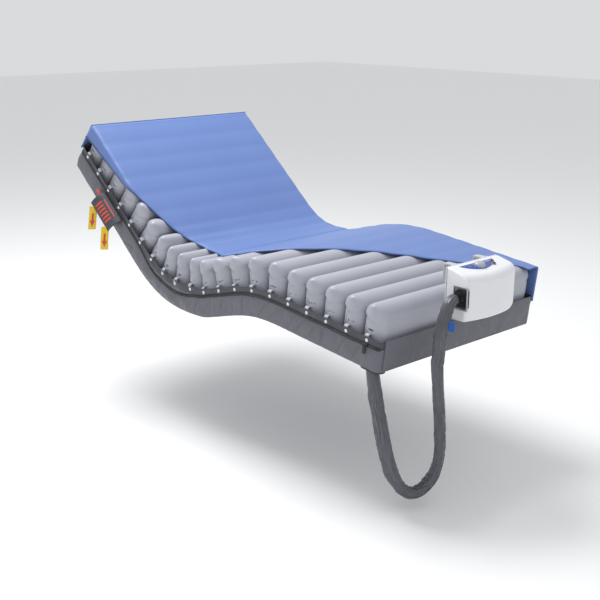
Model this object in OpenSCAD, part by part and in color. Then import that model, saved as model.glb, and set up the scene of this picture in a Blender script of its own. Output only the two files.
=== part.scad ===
// Alternating-pressure relief mattress with its pump and air hose, stored in the
// profiled position of a ward bed: back section raised, knees slightly bent.
// Origin: centre of the seat section's underside. +X runs to the foot, +Z is up,
// and -Y is the side that carries the emergency deflation strap.

/* [Bed position] */
// Angle of the back section above flat, in degrees
back_deg = 40.5; // [0:0.5:60]
// Angle of the thigh section above flat, in degrees
thigh_deg = 15.5; // [0:0.5:30]
// Slope of the calf section down to the foot, in degrees
calf_deg = 6; // [0:0.5:15]
// Length of mattress that bends at the hips
back_bend = 445; // [300:5:560]
// Length of mattress that bends under the buttocks
thigh_bend = 87; // [60:1:150]
// Distance from the flat of the seat to where the knee bend starts
knee_start = 189; // [160:1:260]
// Length of mattress that bends at the knees
knee_bend = 377; // [250:1:460]
// Height above the underside of the layer that keeps its length in a bend
neutral_h = 77; // [50:1:110]

/* [Air cells] */
// Distance from one cell to the next
pitch = 102; // [85:1:123]
// Width of a cell along the mattress
cell_w = 93; // [76:1:96]
// Height of the cell tops above the underside
mat_h = 235; // [195:1:282]
// Height of the cell bottoms above the underside
cell_base = 34; // [30:1:50]
// Least gap between two neighbouring cells
cell_gap = 3; // [1:0.5:8]
// Gap between a cell's end and the side wall
cell_side_gap = 4; // [2:0.5:12]
// Length of the rounded stretch at each end of a cell
cell_end = 16; // [8:1:30]

/* [Base cover] */
// Width over the side walls
mat_w = 900; // [750:5:1080]
// Height of the side walls
wall_h = 118; // [100:1:141]
// Thickness of walls and floor
wall_t = 5; // [3:0.5:8]
// Length beyond the first and last cell
end_margin = 14; // [11:1:40]
// Height of the press studs above the underside
stud_h = 105; // [88:1:126]
// Diameter of a press stud
stud_d = 13; // [9:0.5:16]
// Height of the middle of the zip above the underside
zip_h = 88; // [60:1:96]
// Width of the zip tape
zip_w = 13; // [8:0.5:20]
// Half the open stretch between the seat and thigh sections
seat_gap = 20; // [16:1:26]
// Fabric kept round a press stud where a section ends
stud_hem = 3; // [2:0.5:6]

/* [Top cover] */
// Thickness of the coated stretch fabric with its lining
cover_t = 3; // [2:0.5:5]
// Height of the cover above the cell tops
cover_gap = 4; // [2:0.5:6]
// Height at which the cover's skirt meets the zip
skirt_h = 97; // [90:1:110]

/* [Deflation strap] */
// Cell over which the middle of the strap's flap lies
flap_cell = 3.7; // [2:0.1:5]
// Length of the flap along the mattress
flap_l = 170; // [120:5:200]
// Reach of the flap out from the side wall
flap_reach = 52; // [40:1:70]
// Length of a pull tab
tab_l = 108; // [60:1:115]
// Width of a pull tab
tab_w = 34; // [25:1:45]

/* [Pump] */
// Distance from the foot end of the mattress to the pump's back
pump_gap = 48; // [40:1:90]
// Width of the pump
pump_w = 290; // [240:5:340]
// Height of the pump
pump_h = 185; // [155:1:222]
// Depth of the pump
pump_d = 112; // [95:1:134]
// Middle of the pump, from the middle of the mattress
pump_y = -30; // [-60:5:60]
// Height of the pump's bottom above the seat's underside
pump_z = 182; // [150:1:210]
// Wall of the pump's shell
pump_wall = 3; // [2:0.5:4]
// How far the pump's front bows out between its ends
front_bow = 22; // [0:1:28]
// Fall of the pump's top towards the front, in degrees
top_slope = 15; // [8:1:22]
// Thickness of bed end that the hooks take
board_t = 34; // [20:1:40]
// Length of a hook's drop behind the bed end
hook_drop = 62; // [40:1:80]
// Width of a hook
hook_w = 30; // [20:1:45]
// Diameter of the comfort knob
knob_d = 40; // [30:1:48]
// Height of the comfort knob
knob_h = 15; // [10:1:20]

/* [Hose] */
// Diameter of the sleeved hose bundle
hose_d = 50; // [40:1:56]
// Diameter of the connector's spigots
spigot_d = 15; // [10:1:18]

/* [Hidden] */
$fn = 48;
CELLS = 20;
// the flat of the seat lies here, counted in cells
SEAT_CELL = 10.3;
STEP = 10;
EPS = 0.01;

function two(i) = i < 10 ? str("0", i) : str(i);
function cell_name(i) = str("cell_", two(i));

// ---- the mattress's line, seen from the side --------------------------------

function ramp(s, a, b) = let (t = min(1, max(0, (s - a) / (b - a)))) t * t * (3 - 2 * t);
function slope(s) =
    -back_deg * (1 - ramp(s, -back_bend, 0))
    + thigh_deg * ramp(s, 0, thigh_bend)
    - (thigh_deg + calf_deg) * ramp(s, knee_start, knee_start + knee_bend);
function dir(s) = [cos(slope(s)), sin(slope(s))];

// the neutral layer, walked in steps from the flat of the seat both ways
BACK_LINE = [for (i = 0, p = [0, 0]; i <= 160; p = p - STEP * dir(-(i + 0.5) * STEP), i = i + 1) p];
LEG_LINE = [for (i = 0, p = [0, 0]; i <= 160; p = p + STEP * dir((i + 0.5) * STEP), i = i + 1) p];
function spot(s) =
    let (t = abs(s) / STEP, i = floor(t), f = t - i, line = s < 0 ? BACK_LINE : LEG_LINE)
    line[i] * (1 - f) + line[i + 1] * f;

// the point at distance s along the mattress and height h above its underside
function at(s, h) =
    let (p = spot(s), a = slope(s), e = h - neutral_h)
    [p.x - e * sin(a), p.y + neutral_h + e * cos(a)];

function cell_s(i) = (i - SEAT_CELL) * pitch;
head_s = cell_s(0.5) - end_margin;
foot_s = cell_s(CELLS + 0.5) + end_margin;

// hinge lines of the bed's sections, where the straight undersides would meet
function meet(p, a, q, b) =
    let (t = ((q.x - p.x) * sin(b) - (q.y - p.y) * cos(b)) / sin(b - a)) p + t * [cos(a), sin(a)];
back_hinge = meet(at(-back_bend, 0), -back_deg, at(0, 0), 0);
thigh_hinge = meet(at(0, 0), 0, at(thigh_bend, 0), thigh_deg);
knee_hinge = meet(at(knee_start, 0), thigh_deg, at(knee_start + knee_bend, 0), -calf_deg);

// where one section's stiff parts end and the next section's begin
function past_stud(i, way) = cell_s(i) + way * (stud_d / 2 + stud_hem);
HIP_OPEN = [past_stud(8, 1), past_stud(9, -1)];
SEAT_OPEN = [thigh_bend / 2 - seat_gap, thigh_bend / 2 + seat_gap];
KNEE_OPEN = [past_stud(13, 1), past_stud(14, -1)];
function middle(pair) = (pair[0] + pair[1]) / 2;

// ---- shared shapes ----------------------------------------------------------

// a plane outline in X and Z, given thickness from y0 to y1
module across(y0, y1) {
    translate([0, y1, 0]) rotate([90, 0, 0]) linear_extrude(y1 - y0) children();
}

function stations(s0, s1, gap = 24) =
    let (n = max(1, ceil((s1 - s0) / gap))) [for (i = [0:n]) s0 + (s1 - s0) * i / n];

// a layer of the mattress between two heights, following its line
module layer_side(s0, s1, h0, h1) {
    row = stations(s0, s1);
    n = len(row);
    polygon(concat(
        [for (s = row) at(s, h0)],
        [for (i = [n - 1:-1:0]) at(row[i], h1)]
    ));
}
module layer(s0, s1, h0, h1, y0, y1) {
    across(y0, y1) layer_side(s0, s1, h0, h1);
}

// stands a child at distance s and height h, turned with the mattress
module placed(s, h, y = 0) {
    p = at(s, h);
    translate([p.x, y, p.y]) rotate([0, -slope(s), 0]) children();
}

// a closed solid through rings of equally many points, each seen whole from its first
module loft(rings) {
    m = len(rings[0]);
    n = len(rings);
    polyhedron(
        points = [for (r = rings) each r],
        faces = concat(
            [for (j = [1:m - 2]) [0, j, j + 1]],
            [for (i = [0:n - 2], j = [0:m - 1]) let (a = i * m + j, b = i * m + (j + 1) % m) each
                [[a, a + m, b + m], [a, b + m, b]]],
            [for (j = [1:m - 2]) [(n - 1) * m, (n - 1) * m + j + 1, (n - 1) * m + j]]
        ),
        convexity = 6
    );
}

// ---- air cells --------------------------------------------------------------

function room(i, h) = min([for (k = [-1, 1]) if (i + k >= 1 && i + k <= CELLS)
    norm(at(cell_s(i + k), h) - at(cell_s(i), h))]);
function half_width(i, h) = min(cell_w, room(i, h) - cell_gap) / 2;

// a cell's outline: flat-sided and round on top, narrower where the bed bends
module cell_outline(i, inset) {
    top_r = half_width(i, mat_h) - inset;
    top_h = mat_h - inset - top_r;
    low = half_width(i, cell_base) - inset;
    mid = half_width(i, top_h) - inset;
    polygon([[-low, cell_base + inset], [low, cell_base + inset], [top_r, top_h], [-top_r, top_h]]);
    translate([0, top_h]) circle(min(top_r, mid));
}

module cell(i) {
    half = mat_w / 2 - wall_t - cell_side_gap;
    color([0.62, 0.63, 0.68]) translate([at(cell_s(i), 0).x, 0, at(cell_s(i), 0).y])
        rotate([0, -slope(cell_s(i)), 0]) {
            across(-half + cell_end, half - cell_end) cell_outline(i, 0);
            for (side = [-1, 1])
                across(side > 0 ? half - cell_end - EPS : -half,
                       side > 0 ? half : -half + cell_end + EPS) cell_outline(i, 9);
        }
}

// ---- base cover -------------------------------------------------------------

base_grey = [0.27, 0.28, 0.32];
zip_t = 3;
stud_t = 3.5;
// the zip stops this short of a section's ends, and an end wall of the side walls' edges
end_lap = 1;

// floor and side walls of one section, with the zip along its outside; the near
// wall may have an opening through which the strap pulls the plugs
module tray(s0, s1, door = false) {
    layer(s0, s1, 0, wall_t, -mat_w / 2, mat_w / 2);
    for (side = [-1, 1]) {
        wall = side > 0 ? mat_w / 2 - wall_t : -mat_w / 2;
        across(wall, wall + wall_t) difference() {
            layer_side(s0, s1, 0, wall_h);
            if (door && side < 0) layer_side(
                valve_s - plug_door / 2, valve_s + plug_door / 2,
                wall_t + 1, wall_t + 1 + plug_door_h
            );
        }
        zip = side > 0 ? mat_w / 2 - EPS : -mat_w / 2 - zip_t;
        layer(s0 + end_lap, s1 - end_lap, zip_h - zip_w / 2, zip_h + zip_w / 2, zip, zip + zip_t + EPS);
    }
}

// an end wall, let into the two side walls and the floor
module end_wall(s0, s1) {
    half = (mat_w - wall_t) / 2;
    layer(s0, s1, wall_t / 2, wall_h - end_lap, -half, half);
}

module base_back() {
    color(base_grey) {
        tray(head_s, HIP_OPEN[0], door = true);
        end_wall(head_s + end_lap, head_s + wall_t);
    }
}

// the seat's floor is flat underneath, where it rests on the bed
module base_seat() {
    s0 = HIP_OPEN[1];
    s1 = SEAT_OPEN[0];
    row = stations(s0, s1);
    n = len(row);
    color(base_grey) {
        tray(s0, s1);
        across(-mat_w / 2, mat_w / 2) polygon(concat(
            [[at(s0, 0).x, 0], [at(s1, 0).x, 0]],
            [for (i = [n - 1:-1:0]) at(row[i], wall_t)]
        ));
    }
}

module base_thigh() {
    color(base_grey) tray(SEAT_OPEN[1], KNEE_OPEN[0]);
}

module base_calf() {
    color(base_grey) difference() {
        union() {
            tray(KNEE_OPEN[1], foot_s);
            end_wall(foot_s - wall_t, foot_s - end_lap);
        }
        inlet_place() translate([0, 0, -1]) linear_extrude(wall_t + 2) inlet_slot(inlet_t + 0.3);
    }
}

// one press stud for each cell on both side walls
module studs(first, last) {
    color([0.86, 0.87, 0.89]) for (i = [first:last], side = [-1, 1])
        placed(cell_s(i), stud_h, side * mat_w / 2) rotate([-90 * side, 0, 0])
            cylinder(d = stud_d, h = stud_t);
}

// ---- top cover --------------------------------------------------------------

cover_h = mat_h + cover_gap;
cover_out = mat_w / 2;
seam_gap = 0.5;
seam_w = 1;
cover_blue = [0.42, 0.52, 0.80];

// where the turned-back near edge lies, as cells along and distance in from the
// near side of a mattress of the usual width
usual_w = 900;
EDGE_CELL = [0.3, 4.6, 6, 7.3, 8.5, 9.8, 11, 12, 13, 14, 15, 16, 17, 18, 19, 20.1];
EDGE_IN = [0, 28, 70, 118, 152, 150, 120, 102, 112, 205, 345, 465, 545, 615, 700, 850];
EDGE = [for (k = [0:len(EDGE_CELL) - 1]) [EDGE_CELL[k], EDGE_IN[k]]];
function edge_in(s) = lookup(s / pitch + SEAT_CELL, EDGE) * mat_w / usual_w;

// the sheet over the cells and its skirt down the far side, as one bent strip
module cover_sheet(s0, s1) {
    top = cover_h + cover_t;
    out = cover_out + zip_t + 1;
    loft([for (s = stations(s0, s1))
        let (
            near = -cover_out + edge_in(s),
            yh = [[out, cover_h], [out, skirt_h], [out + cover_t, skirt_h],
                  [out + cover_t, top], [near, top], [near, cover_h]]
        )
        [for (c = yh) let (p = at(s, c[1])) [p.x, c[0], p.y]]]);
}

// at the head the sheet is seamed to a panel that drops to the zip
module cover_back() {
    color(cover_blue) {
        cover_sheet(head_s - 1 - cover_t, middle(HIP_OPEN));
        layer(head_s - 1 - cover_t, head_s - 1, skirt_h, cover_h - seam_gap, -cover_out, cover_out);
    }
}
module cover_seat() { color(cover_blue) cover_sheet(middle(HIP_OPEN) + seam_w, middle(SEAT_OPEN)); }
module cover_thigh() { color(cover_blue) cover_sheet(middle(SEAT_OPEN) + seam_w, middle(KNEE_OPEN)); }
module cover_calf() { color(cover_blue) cover_sheet(middle(KNEE_OPEN) + seam_w, foot_s); }

// ---- air lines and emergency deflation --------------------------------------

line_d = 12;
line_h = wall_t + line_d / 2 + 2;

// a supply tube along the mattress under the cells
module air_line(y, first_s, last_s) {
    ring = [for (j = [0:7]) j * 45];
    color([0.80, 0.82, 0.84]) loft([for (s = stations(first_s, last_s, 44))
        [for (a = ring) let (p = at(s, line_h + line_d / 2 * sin(a)))
             [p.x, y + line_d / 2 * cos(a), p.y]]]);
}
line_y = -mat_w / 2 + 90;
line_gap = 22;
valve_s = cell_s(flap_cell);
inlet_s = foot_s - wall_t - 120;
module air_line_a() { air_line(line_y, valve_s + 30, inlet_s - 2); }
module air_line_b() { air_line(line_y + line_gap, valve_s + 30, inlet_s - 2); }

plug_d = 14;
plug_rim = 20;
plug_l = 26;
plug_off = 14;
plug_door = 2 * plug_off + plug_rim + 2;
plug_door_h = plug_rim + 3;
valve_h = 22;
valve_l = 56;
valve_y = -mat_w / 2 + wall_t + 6;

// the block at the end of the air lines that the strap's plugs close
module deflation_valve() {
    color([0.85, 0.86, 0.88]) placed(valve_s, wall_t + 1) difference() {
        translate([-valve_l / 2, valve_y, 0]) cube([valve_l, line_y + line_gap + 16 - valve_y, valve_h]);
        for (k = [-1, 1]) translate([k * plug_off, valve_y - 1, valve_h / 2])
            rotate([-90, 0, 0]) cylinder(d = plug_d + 0.1, h = plug_l + 1.2);
    }
}

module deflation_plugs() {
    color([0.80, 0.15, 0.12]) placed(valve_s, wall_t + 1) for (k = [-1, 1])
        translate([k * plug_off, valve_y - 5, valve_h / 2]) rotate([-90, 0, 0]) {
            cylinder(d = plug_rim, h = 4.7);
            translate([0, 0, 4]) cylinder(d = plug_d, h = plug_l);
        }
}

// the flap runs out from under the zip and hangs over the bed's rail
flap_t = 3;
flap_top_h = zip_h - zip_w / 2 - 3;
flap_y = -mat_w / 2 - 1;
flap_fall = 64;
module deflation_strap() {
    color([0.30, 0.31, 0.35]) placed(valve_s, 0) translate([-flap_l / 2, 0, 0])
        rotate([90, 0, 90]) linear_extrude(flap_l) polygon([
            [flap_y, flap_top_h], [flap_y - flap_reach, flap_top_h - flap_fall],
            [flap_y - flap_reach - flap_t, flap_top_h - flap_fall + 1], [flap_y - flap_t, flap_top_h]
        ]);
}

// two pull tabs that hang plumb from the flap's outer edge
tab_t = 2;
tab_off = 61;
tab_sewn = 4;
module pull_tabs() {
    color([0.93, 0.80, 0.22]) for (k = [-1, 1]) {
        p = at(valve_s + k * tab_off, flap_top_h - flap_fall);
        translate([p.x - tab_w / 2, flap_y - flap_reach - flap_t - tab_t - 1, p.y - tab_l])
            cube([tab_w, tab_t, tab_l + tab_sewn]);
    }
}

// the zip's slider on the straight run beside the calves
slider_s = foot_s - 70;
module zip_slider() {
    color([0.12, 0.12, 0.13]) placed(slider_s, zip_h) {
        translate([-12, -mat_w / 2 - zip_t - 5.5, -7]) cube([24, 5, 14]);
        translate([-6, -mat_w / 2 - zip_t - 8.5, -34]) cube([12, 3 + EPS, 30]);
    }
}

// ---- hose -------------------------------------------------------------------

// the route of the sleeved hose: out of the pump's side, down past the bed end,
// round in a free loop, and up to the near foot corner of the mattress
HOSE_ROUTE = [
    [1151, -196, 266], [1153, -217, 260], [1155, -239, 236], [1155, -253, 200],
    [1151, -262, 150], [1143, -258, 75], [1137, -247, -20], [1135, -231, -120],
    [1131, -212, -225], [1126, -202, -320], [1119, -212, -392], [1108, -248, -445],
    [1094, -300, -464], [1080, -348, -443], [1067, -383, -390], [1053, -403, -325],
    [1037, -412, -255], [1019, -415, -180], [1000, -414, -110], [985, -412, -50],
    [974, -412, -5], [968.5, -412, 27]
];
HOSE_SIDES = 12;
function unit(v) = v / norm(v);
// a ring round the route at point k, square to it, its first point kept towards +X
function hose_ring(k) =
    let (
        n = len(HOSE_ROUTE),
        t = unit(HOSE_ROUTE[min(n - 1, k + 1)] - HOSE_ROUTE[max(0, k - 1)]),
        u = unit([1, 0, 0] - t * t.x),
        v = cross(t, u)
    )
    [for (j = [0:HOSE_SIDES - 1]) let (a = 360 * j / HOSE_SIDES)
        HOSE_ROUTE[k] + hose_d / 2 * (cos(a) * u + sin(a) * v)];
module hose() {
    color([0.33, 0.34, 0.38]) loft([for (k = [0:len(HOSE_ROUTE) - 1]) hose_ring(k)]);
}

pump_x = at(foot_s, mat_h / 2).x + pump_gap;
near_face = pump_y - pump_w / 2;
// the recess in the pump's near side that takes the connector
recess_x = 38;
recess_w = 56;
recess_z = 46;
recess_h = 78;
recess_deep = 34;

module hose_connector() {
    color([0.10, 0.10, 0.11]) translate([pump_x + recess_x, near_face, pump_z + recess_z]) {
        translate([3, 3, 8]) cube([recess_w - 6, recess_deep - 6, recess_h - 24]);
        for (x = [16, 40]) translate([x, 4, 38]) rotate([90, 0, 0]) cylinder(d = spigot_d, h = 18);
    }
}

// the slot in the floor at the near foot corner, where the hose goes in and can
// shift along the mattress as the knees bend, with a collar sewn round it
inlet_w = hose_d + 3;
inlet_run = 44;
inlet_t = 2;
inlet_hem = 6;
inlet_drop = 14;
inlet_flange = 3;
hose_y = -mat_w / 2 + wall_t + inlet_hem + inlet_w / 2 + 1.5;
inlet_end_s = foot_s - wall_t - inlet_hem - inlet_w / 2 - 0.5;
module inlet_place() { placed(inlet_end_s, 0, hose_y) children(); }
module inlet_slot(grow) {
    r = inlet_w / 2 + grow;
    for (x = [-inlet_run, 0]) translate([x, 0]) circle(r);
    translate([-inlet_run, -r]) square([inlet_run, 2 * r]);
}
module inlet_ring(z, height, grow) {
    translate([0, 0, z]) linear_extrude(height) difference() {
        inlet_slot(grow);
        inlet_slot(0);
    }
}
module hose_inlet() {
    color([0.15, 0.15, 0.17]) inlet_place() {
        inlet_ring(-inlet_drop, inlet_drop + wall_t + 1, inlet_t);
        inlet_ring(wall_t + 0.2, inlet_flange, inlet_hem);
    }
}

// a woven tag sewn to the sleeve
TAG = [22, 2, 36];
TAG_AT = [1181, -262, 168];
tag_turn = 20;
module hose_tag() {
    color([0.10, 0.40, 0.75]) translate(TAG_AT) rotate([0, 0, tag_turn]) cube(TAG);
}

// ---- pump -------------------------------------------------------------------

front_r = 36;
base_r = 12;
ledge = 14;
function arc(cx, cz, r, a0, a1) =
    [for (k = [0:10]) let (a = a0 + (a1 - a0) * k / 10) [cx + r * cos(a), cz + r * sin(a)]];
// height of the sloping top at distance x from the pump's back
function top_z(x) = pump_h - max(0, x - ledge) * tan(top_slope);

// the pump's side view; an inset gives the inside of its shell
module pump_side(inset) {
    r = front_r - inset;
    cx = pump_d - front_r;
    cz = top_z(cx) - front_r / cos(top_slope);
    b = base_r - inset;
    polygon(concat(
        [[0, inset], [0, pump_h - inset], [ledge, pump_h - inset]],
        arc(cx, cz, r, 90 - top_slope, 0),
        arc(pump_d - base_r, base_r, b, 0, -90)
    ));
}

// a slice of a wide cylinder, whose curve bounds the front
module front_limit(inset) {
    bow = max(front_bow, 1);
    r = (pump_w * pump_w / 4 + bow * bow) / (2 * bow);
    translate([pump_d - inset - r, 0, -1]) cylinder(r = r, h = pump_h + 2, $fn = 240);
}
module pump_block(inset) {
    half = pump_w / 2 - inset;
    intersection() {
        across(-half, half) pump_side(inset);
        front_limit(inset);
    }
}

module pump_frame() { translate([pump_x, pump_y, pump_z]) children(); }

module pump_front() {
    color([0.93, 0.94, 0.95]) pump_frame() difference() {
        union() {
            difference() {
                pump_block(0);
                translate([-1, 0, 0]) pump_block(pump_wall);
            }
            translate([recess_x - pump_wall, -pump_w / 2, recess_z - pump_wall])
                cube([recess_w + 2 * pump_wall, recess_deep + pump_wall, recess_h + 2 * pump_wall]);
        }
        translate([recess_x, -pump_w / 2 - 1, recess_z]) cube([recess_w, recess_deep + 1, recess_h]);
        on_top(knob_off, knob_run) translate([0, 0, -20]) cylinder(d = shaft_d + 1, h = 30);
        for (b = BUTTONS) on_top(b[0], b[1]) translate([0, 0, -20]) cylinder(d = button_d + 1, h = 30);
        translate([inlet_x - 14, pump_w / 2 - 10, inlet_z - 10]) cube([28, 20, 20]);
        translate([switch_x - 7, pump_w / 2 - 10, inlet_z - 11]) cube([14, 20, 22]);
    }
}

back_t = 3;
hinge_d = 6;
lug_t = 5;
pin_back = 5;
lug_out = 9;
hook_off = 85;
lug_off = hook_w / 2 + lug_t / 2 + 0.5;
hinge_z = pump_h - 6;
module pump_back() {
    color([0.86, 0.87, 0.88]) pump_frame() difference() {
        union() {
            translate([-back_t, 0, 0]) across(-pump_w / 2, pump_w / 2)
                polygon([[0, 0], [back_t - 0.3, 0], [back_t - 0.3, pump_h], [0, pump_h]]);
            for (side = [-1, 1], k = [-1, 1])
                translate([-back_t - lug_out, side * hook_off + k * lug_off - lug_t / 2, hinge_z - 7])
                    cube([lug_out + EPS, lug_t, 12]);
        }
        for (side = [-1, 1]) translate([-back_t - pin_back, side * hook_off, hinge_z])
            rotate([90, 0, 0]) cylinder(d = hinge_d + 0.1, h = hook_w + 3 * lug_t, center = true);
        translate([-10, -25, 30]) cube([20, 50, 40]);
    }
}

// a hook that goes over the bed end, on a pin across the pump's back
hook_t = 5;
module hook(side) {
    leg_x = pin_back - lug_out - board_t - hook_t;
    color([0.72, 0.74, 0.76]) pump_frame() translate([-back_t - pin_back, side * hook_off, hinge_z]) {
        rotate([90, 0, 0]) cylinder(d = hinge_d, h = hook_w + 2 * lug_t + 1, center = true);
        across(-hook_w / 2, hook_w / 2) {
            circle(4.5);
            translate([leg_x, 0]) square([-leg_x, hook_t]);
            translate([leg_x, -hook_drop]) square([hook_t, hook_drop + hook_t]);
        }
    }
}
module hook_near() { hook(-1); }
module hook_far() { hook(1); }

// stands a child on the pump's sloping top, off to the side and x from the back
module on_top(off, x) {
    translate([x, off, top_z(x)]) rotate([0, top_slope, 0]) children();
}

panel_l = 190;
panel_off = -5;
panel_t = 1.6;
panel_run = 21;
panel_deep = 46;
knob_off = -13;
knob_run = 44;
shaft_d = 8;
button_d = 11;
BUTTONS = [[58, 53], [68, 36]];
inlet_x = 64;
inlet_z = 40;
switch_x = 34;
// the rocker turns on a pin this far inside the pump's side
switch_in = 4;

// the lens-shaped control panel: straight behind, bowed in front
module pump_panel() {
    bow_r = (panel_l * panel_l / 4 + panel_deep * panel_deep) / (2 * panel_deep);
    color([0.20, 0.34, 0.66]) pump_frame() on_top(panel_off, panel_run)
        translate([0, 0, 0.2]) difference() {
        linear_extrude(panel_t) intersection() {
            translate([panel_deep - bow_r, 0]) circle(bow_r, $fn = 120);
            translate([0, -panel_l / 2]) square([panel_deep, panel_l]);
        }
        translate([(knob_run - panel_run) / cos(top_slope), knob_off - panel_off, -1])
            cylinder(d = shaft_d + 1, h = 5);
        for (b = BUTTONS) translate([(b[1] - panel_run) / cos(top_slope), b[0] - panel_off, -1])
            cylinder(d = button_d + 1, h = 5);
    }
}

module pump_knob() {
    color([0.78, 0.80, 0.83]) pump_frame() on_top(knob_off, knob_run) {
        translate([0, 0, -14]) cylinder(d = shaft_d, h = 17);
        translate([0, 0, panel_t + 0.6]) rotate_extrude() polygon(concat(
            [[0, 0], [knob_d / 2 - 1, 0]],
            [for (k = [0:8]) [(knob_d / 2 - 0.5) * cos(k * 11.25), 2 + (knob_h - 2) * sin(k * 11.25)]]
        ));
        translate([knob_d / 4, -1, knob_h * 0.86]) cube([knob_d / 6, 2, 1.6]);
    }
}

module button(b) {
    color([0.08, 0.09, 0.11]) pump_frame() on_top(b[0], b[1])
        translate([0, 0, -6]) cylinder(d = button_d, h = 6 + panel_t + 2.2);
}
module pump_button_power() { button(BUTTONS[0]); }
module pump_button_lock() { button(BUTTONS[1]); }

// the linear air compressor: a block with a cylinder head at each end
comp_y = 40;
comp_l = 100;
comp_z = 34;
module compressor() {
    color([0.55, 0.57, 0.60]) pump_frame() translate([14, comp_y - comp_l / 2, comp_z]) {
        cube([58, comp_l, 46]);
        for (y = [22, comp_l - 22]) translate([29, y, 46 - EPS]) cylinder(d = 34, h = 16);
    }
}

foot_d = 12;
foot_in = 12;
module rubber_mounts() {
    color([0.12, 0.12, 0.12]) pump_frame() for (x = [24, 62], y = [-1, 1])
        translate([x, comp_y + y * (comp_l / 2 - foot_in), pump_wall + 0.2])
            cylinder(d = foot_d, h = comp_z - pump_wall - 0.4);
}

// the turning valve that feeds the two air lines in turn
module rotary_valve() {
    color([0.88, 0.88, 0.84]) pump_frame() translate([40, -54, 64]) {
        cylinder(d = 44, h = 26);
        translate([0, 0, 26 - EPS]) cylinder(d = 30, h = 22);
        translate([0, -14, 12]) rotate([90, 0, 0]) cylinder(d = 9, h = 20);
    }
}

module circuit_board() {
    color([0.15, 0.42, 0.25]) pump_frame() difference() {
        on_top(panel_off, 20) translate([0, -85, -13]) cube([48, 170, 1.6]);
        on_top(knob_off, knob_run) translate([0, 0, -20]) cylinder(d = shaft_d + 1, h = 20);
    }
}

module power_switch() {
    color([0.10, 0.10, 0.11]) pump_frame() translate([switch_x, pump_w / 2, inlet_z]) {
        translate([0, -switch_in, 0]) cylinder(d = 5, h = 21, center = true);
        translate([-6, -4.5, -9.5]) cube([12, 6, 19]);
    }
}

module power_inlet() {
    color([0.10, 0.10, 0.11]) pump_frame() translate([inlet_x, pump_w / 2, inlet_z]) difference() {
        translate([-13.5, -22, -9.5]) cube([27, 23, 19]);
        translate([-10.5, -16, -6.5]) cube([21, 18, 13]);
        }
}

module filter_cover() {
    color([0.80, 0.81, 0.82]) pump_frame() translate([-back_t - 1.2, 0, 30]) difference() {
        translate([0, -24.5, 0.5]) cube([4, 49, 39]);
        for (k = [0:4]) translate([-1, -18, 5 + k * 7]) cube([8, 36, 3]);
    }
}

module pump_screws() {
    color([0.55, 0.56, 0.58]) pump_frame() for (y = [-1, 1], z = [14, pump_h - 30])
        translate([-back_t - 1.6, y * (pump_w / 2 - 14), z]) rotate([0, 90, 0]) cylinder(d = 7, h = 1.5);
}

// ---- what is drawn ----------------------------------------------------------

for (i = [1:CELLS]) cell(i);
base_back();
base_seat();
base_thigh();
base_calf();
studs(1, 8);  // studs_back
studs(9, 10);  // studs_seat
studs(11, 13);  // studs_thigh
studs(14, 20);  // studs_calf
cover_back();
cover_seat();
cover_thigh();
cover_calf();
air_line_a();
air_line_b();
deflation_valve();
deflation_plugs();
deflation_strap();
pull_tabs();
zip_slider();
hose();
hose_connector();
hose_inlet();
hose_tag();
pump_front();
pump_back();
pump_panel();
pump_knob();
pump_button_power();
pump_button_lock();
hook_near();
hook_far();
compressor();
rotary_valve();
circuit_board();
power_switch();
power_inlet();
rubber_mounts();
filter_cover();
pump_screws();
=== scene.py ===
"""Alternating-pressure relief mattress in the position of a raised ward bed."""
import math

import bmesh
import bpy
from mathutils import Matrix, Vector, noise


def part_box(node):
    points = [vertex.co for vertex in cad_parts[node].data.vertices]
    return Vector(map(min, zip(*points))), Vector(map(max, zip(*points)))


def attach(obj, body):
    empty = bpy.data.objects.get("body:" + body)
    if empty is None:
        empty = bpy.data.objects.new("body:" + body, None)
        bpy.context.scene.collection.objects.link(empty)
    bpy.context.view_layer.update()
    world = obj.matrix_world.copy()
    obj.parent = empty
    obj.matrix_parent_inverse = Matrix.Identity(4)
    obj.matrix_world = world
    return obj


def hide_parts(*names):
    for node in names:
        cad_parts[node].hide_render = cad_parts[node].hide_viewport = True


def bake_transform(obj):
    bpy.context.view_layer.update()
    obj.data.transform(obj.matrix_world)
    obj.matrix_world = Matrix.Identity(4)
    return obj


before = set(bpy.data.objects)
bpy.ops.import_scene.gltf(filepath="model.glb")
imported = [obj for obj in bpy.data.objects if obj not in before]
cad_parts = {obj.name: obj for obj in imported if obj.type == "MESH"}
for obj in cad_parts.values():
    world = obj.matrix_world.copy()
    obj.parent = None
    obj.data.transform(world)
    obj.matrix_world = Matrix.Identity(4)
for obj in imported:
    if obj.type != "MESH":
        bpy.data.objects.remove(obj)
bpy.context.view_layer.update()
MM = 0.001

# ---- Camera -----------------------------------------------------------------
# A visitor's view from the near foot corner of the bed, a little above the pump.
# The camera is level to within half a degree and looks slightly down.
camera_at = Vector((3.313, -2.983, 1.264))
turn, tip, lean = math.radians(46.87), math.radians(16.71), math.radians(0.42)
ahead = Vector((-math.sin(turn) * math.cos(tip), math.cos(turn) * math.cos(tip), -math.sin(tip)))
level = Vector((math.cos(turn), math.sin(turn), 0))
upright = level.cross(ahead)
right = math.cos(lean) * level + math.sin(lean) * upright
above = math.cos(lean) * upright - math.sin(lean) * level
camera = bpy.data.objects.new("camera", bpy.data.cameras.new("camera"))
bpy.context.scene.collection.objects.link(camera)
camera.data.lens = 62.16
camera.data.sensor_width = 36
camera.data.shift_x = 0.0083
camera.data.shift_y = 0.0187
rows = [(right[k], above[k], -ahead[k], camera_at[k]) for k in range(3)]
camera.matrix_world = Matrix(rows + [(0, 0, 0, 1)])
bpy.context.scene.camera = camera
bpy.context.scene.view_settings.view_transform = "Standard"

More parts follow.
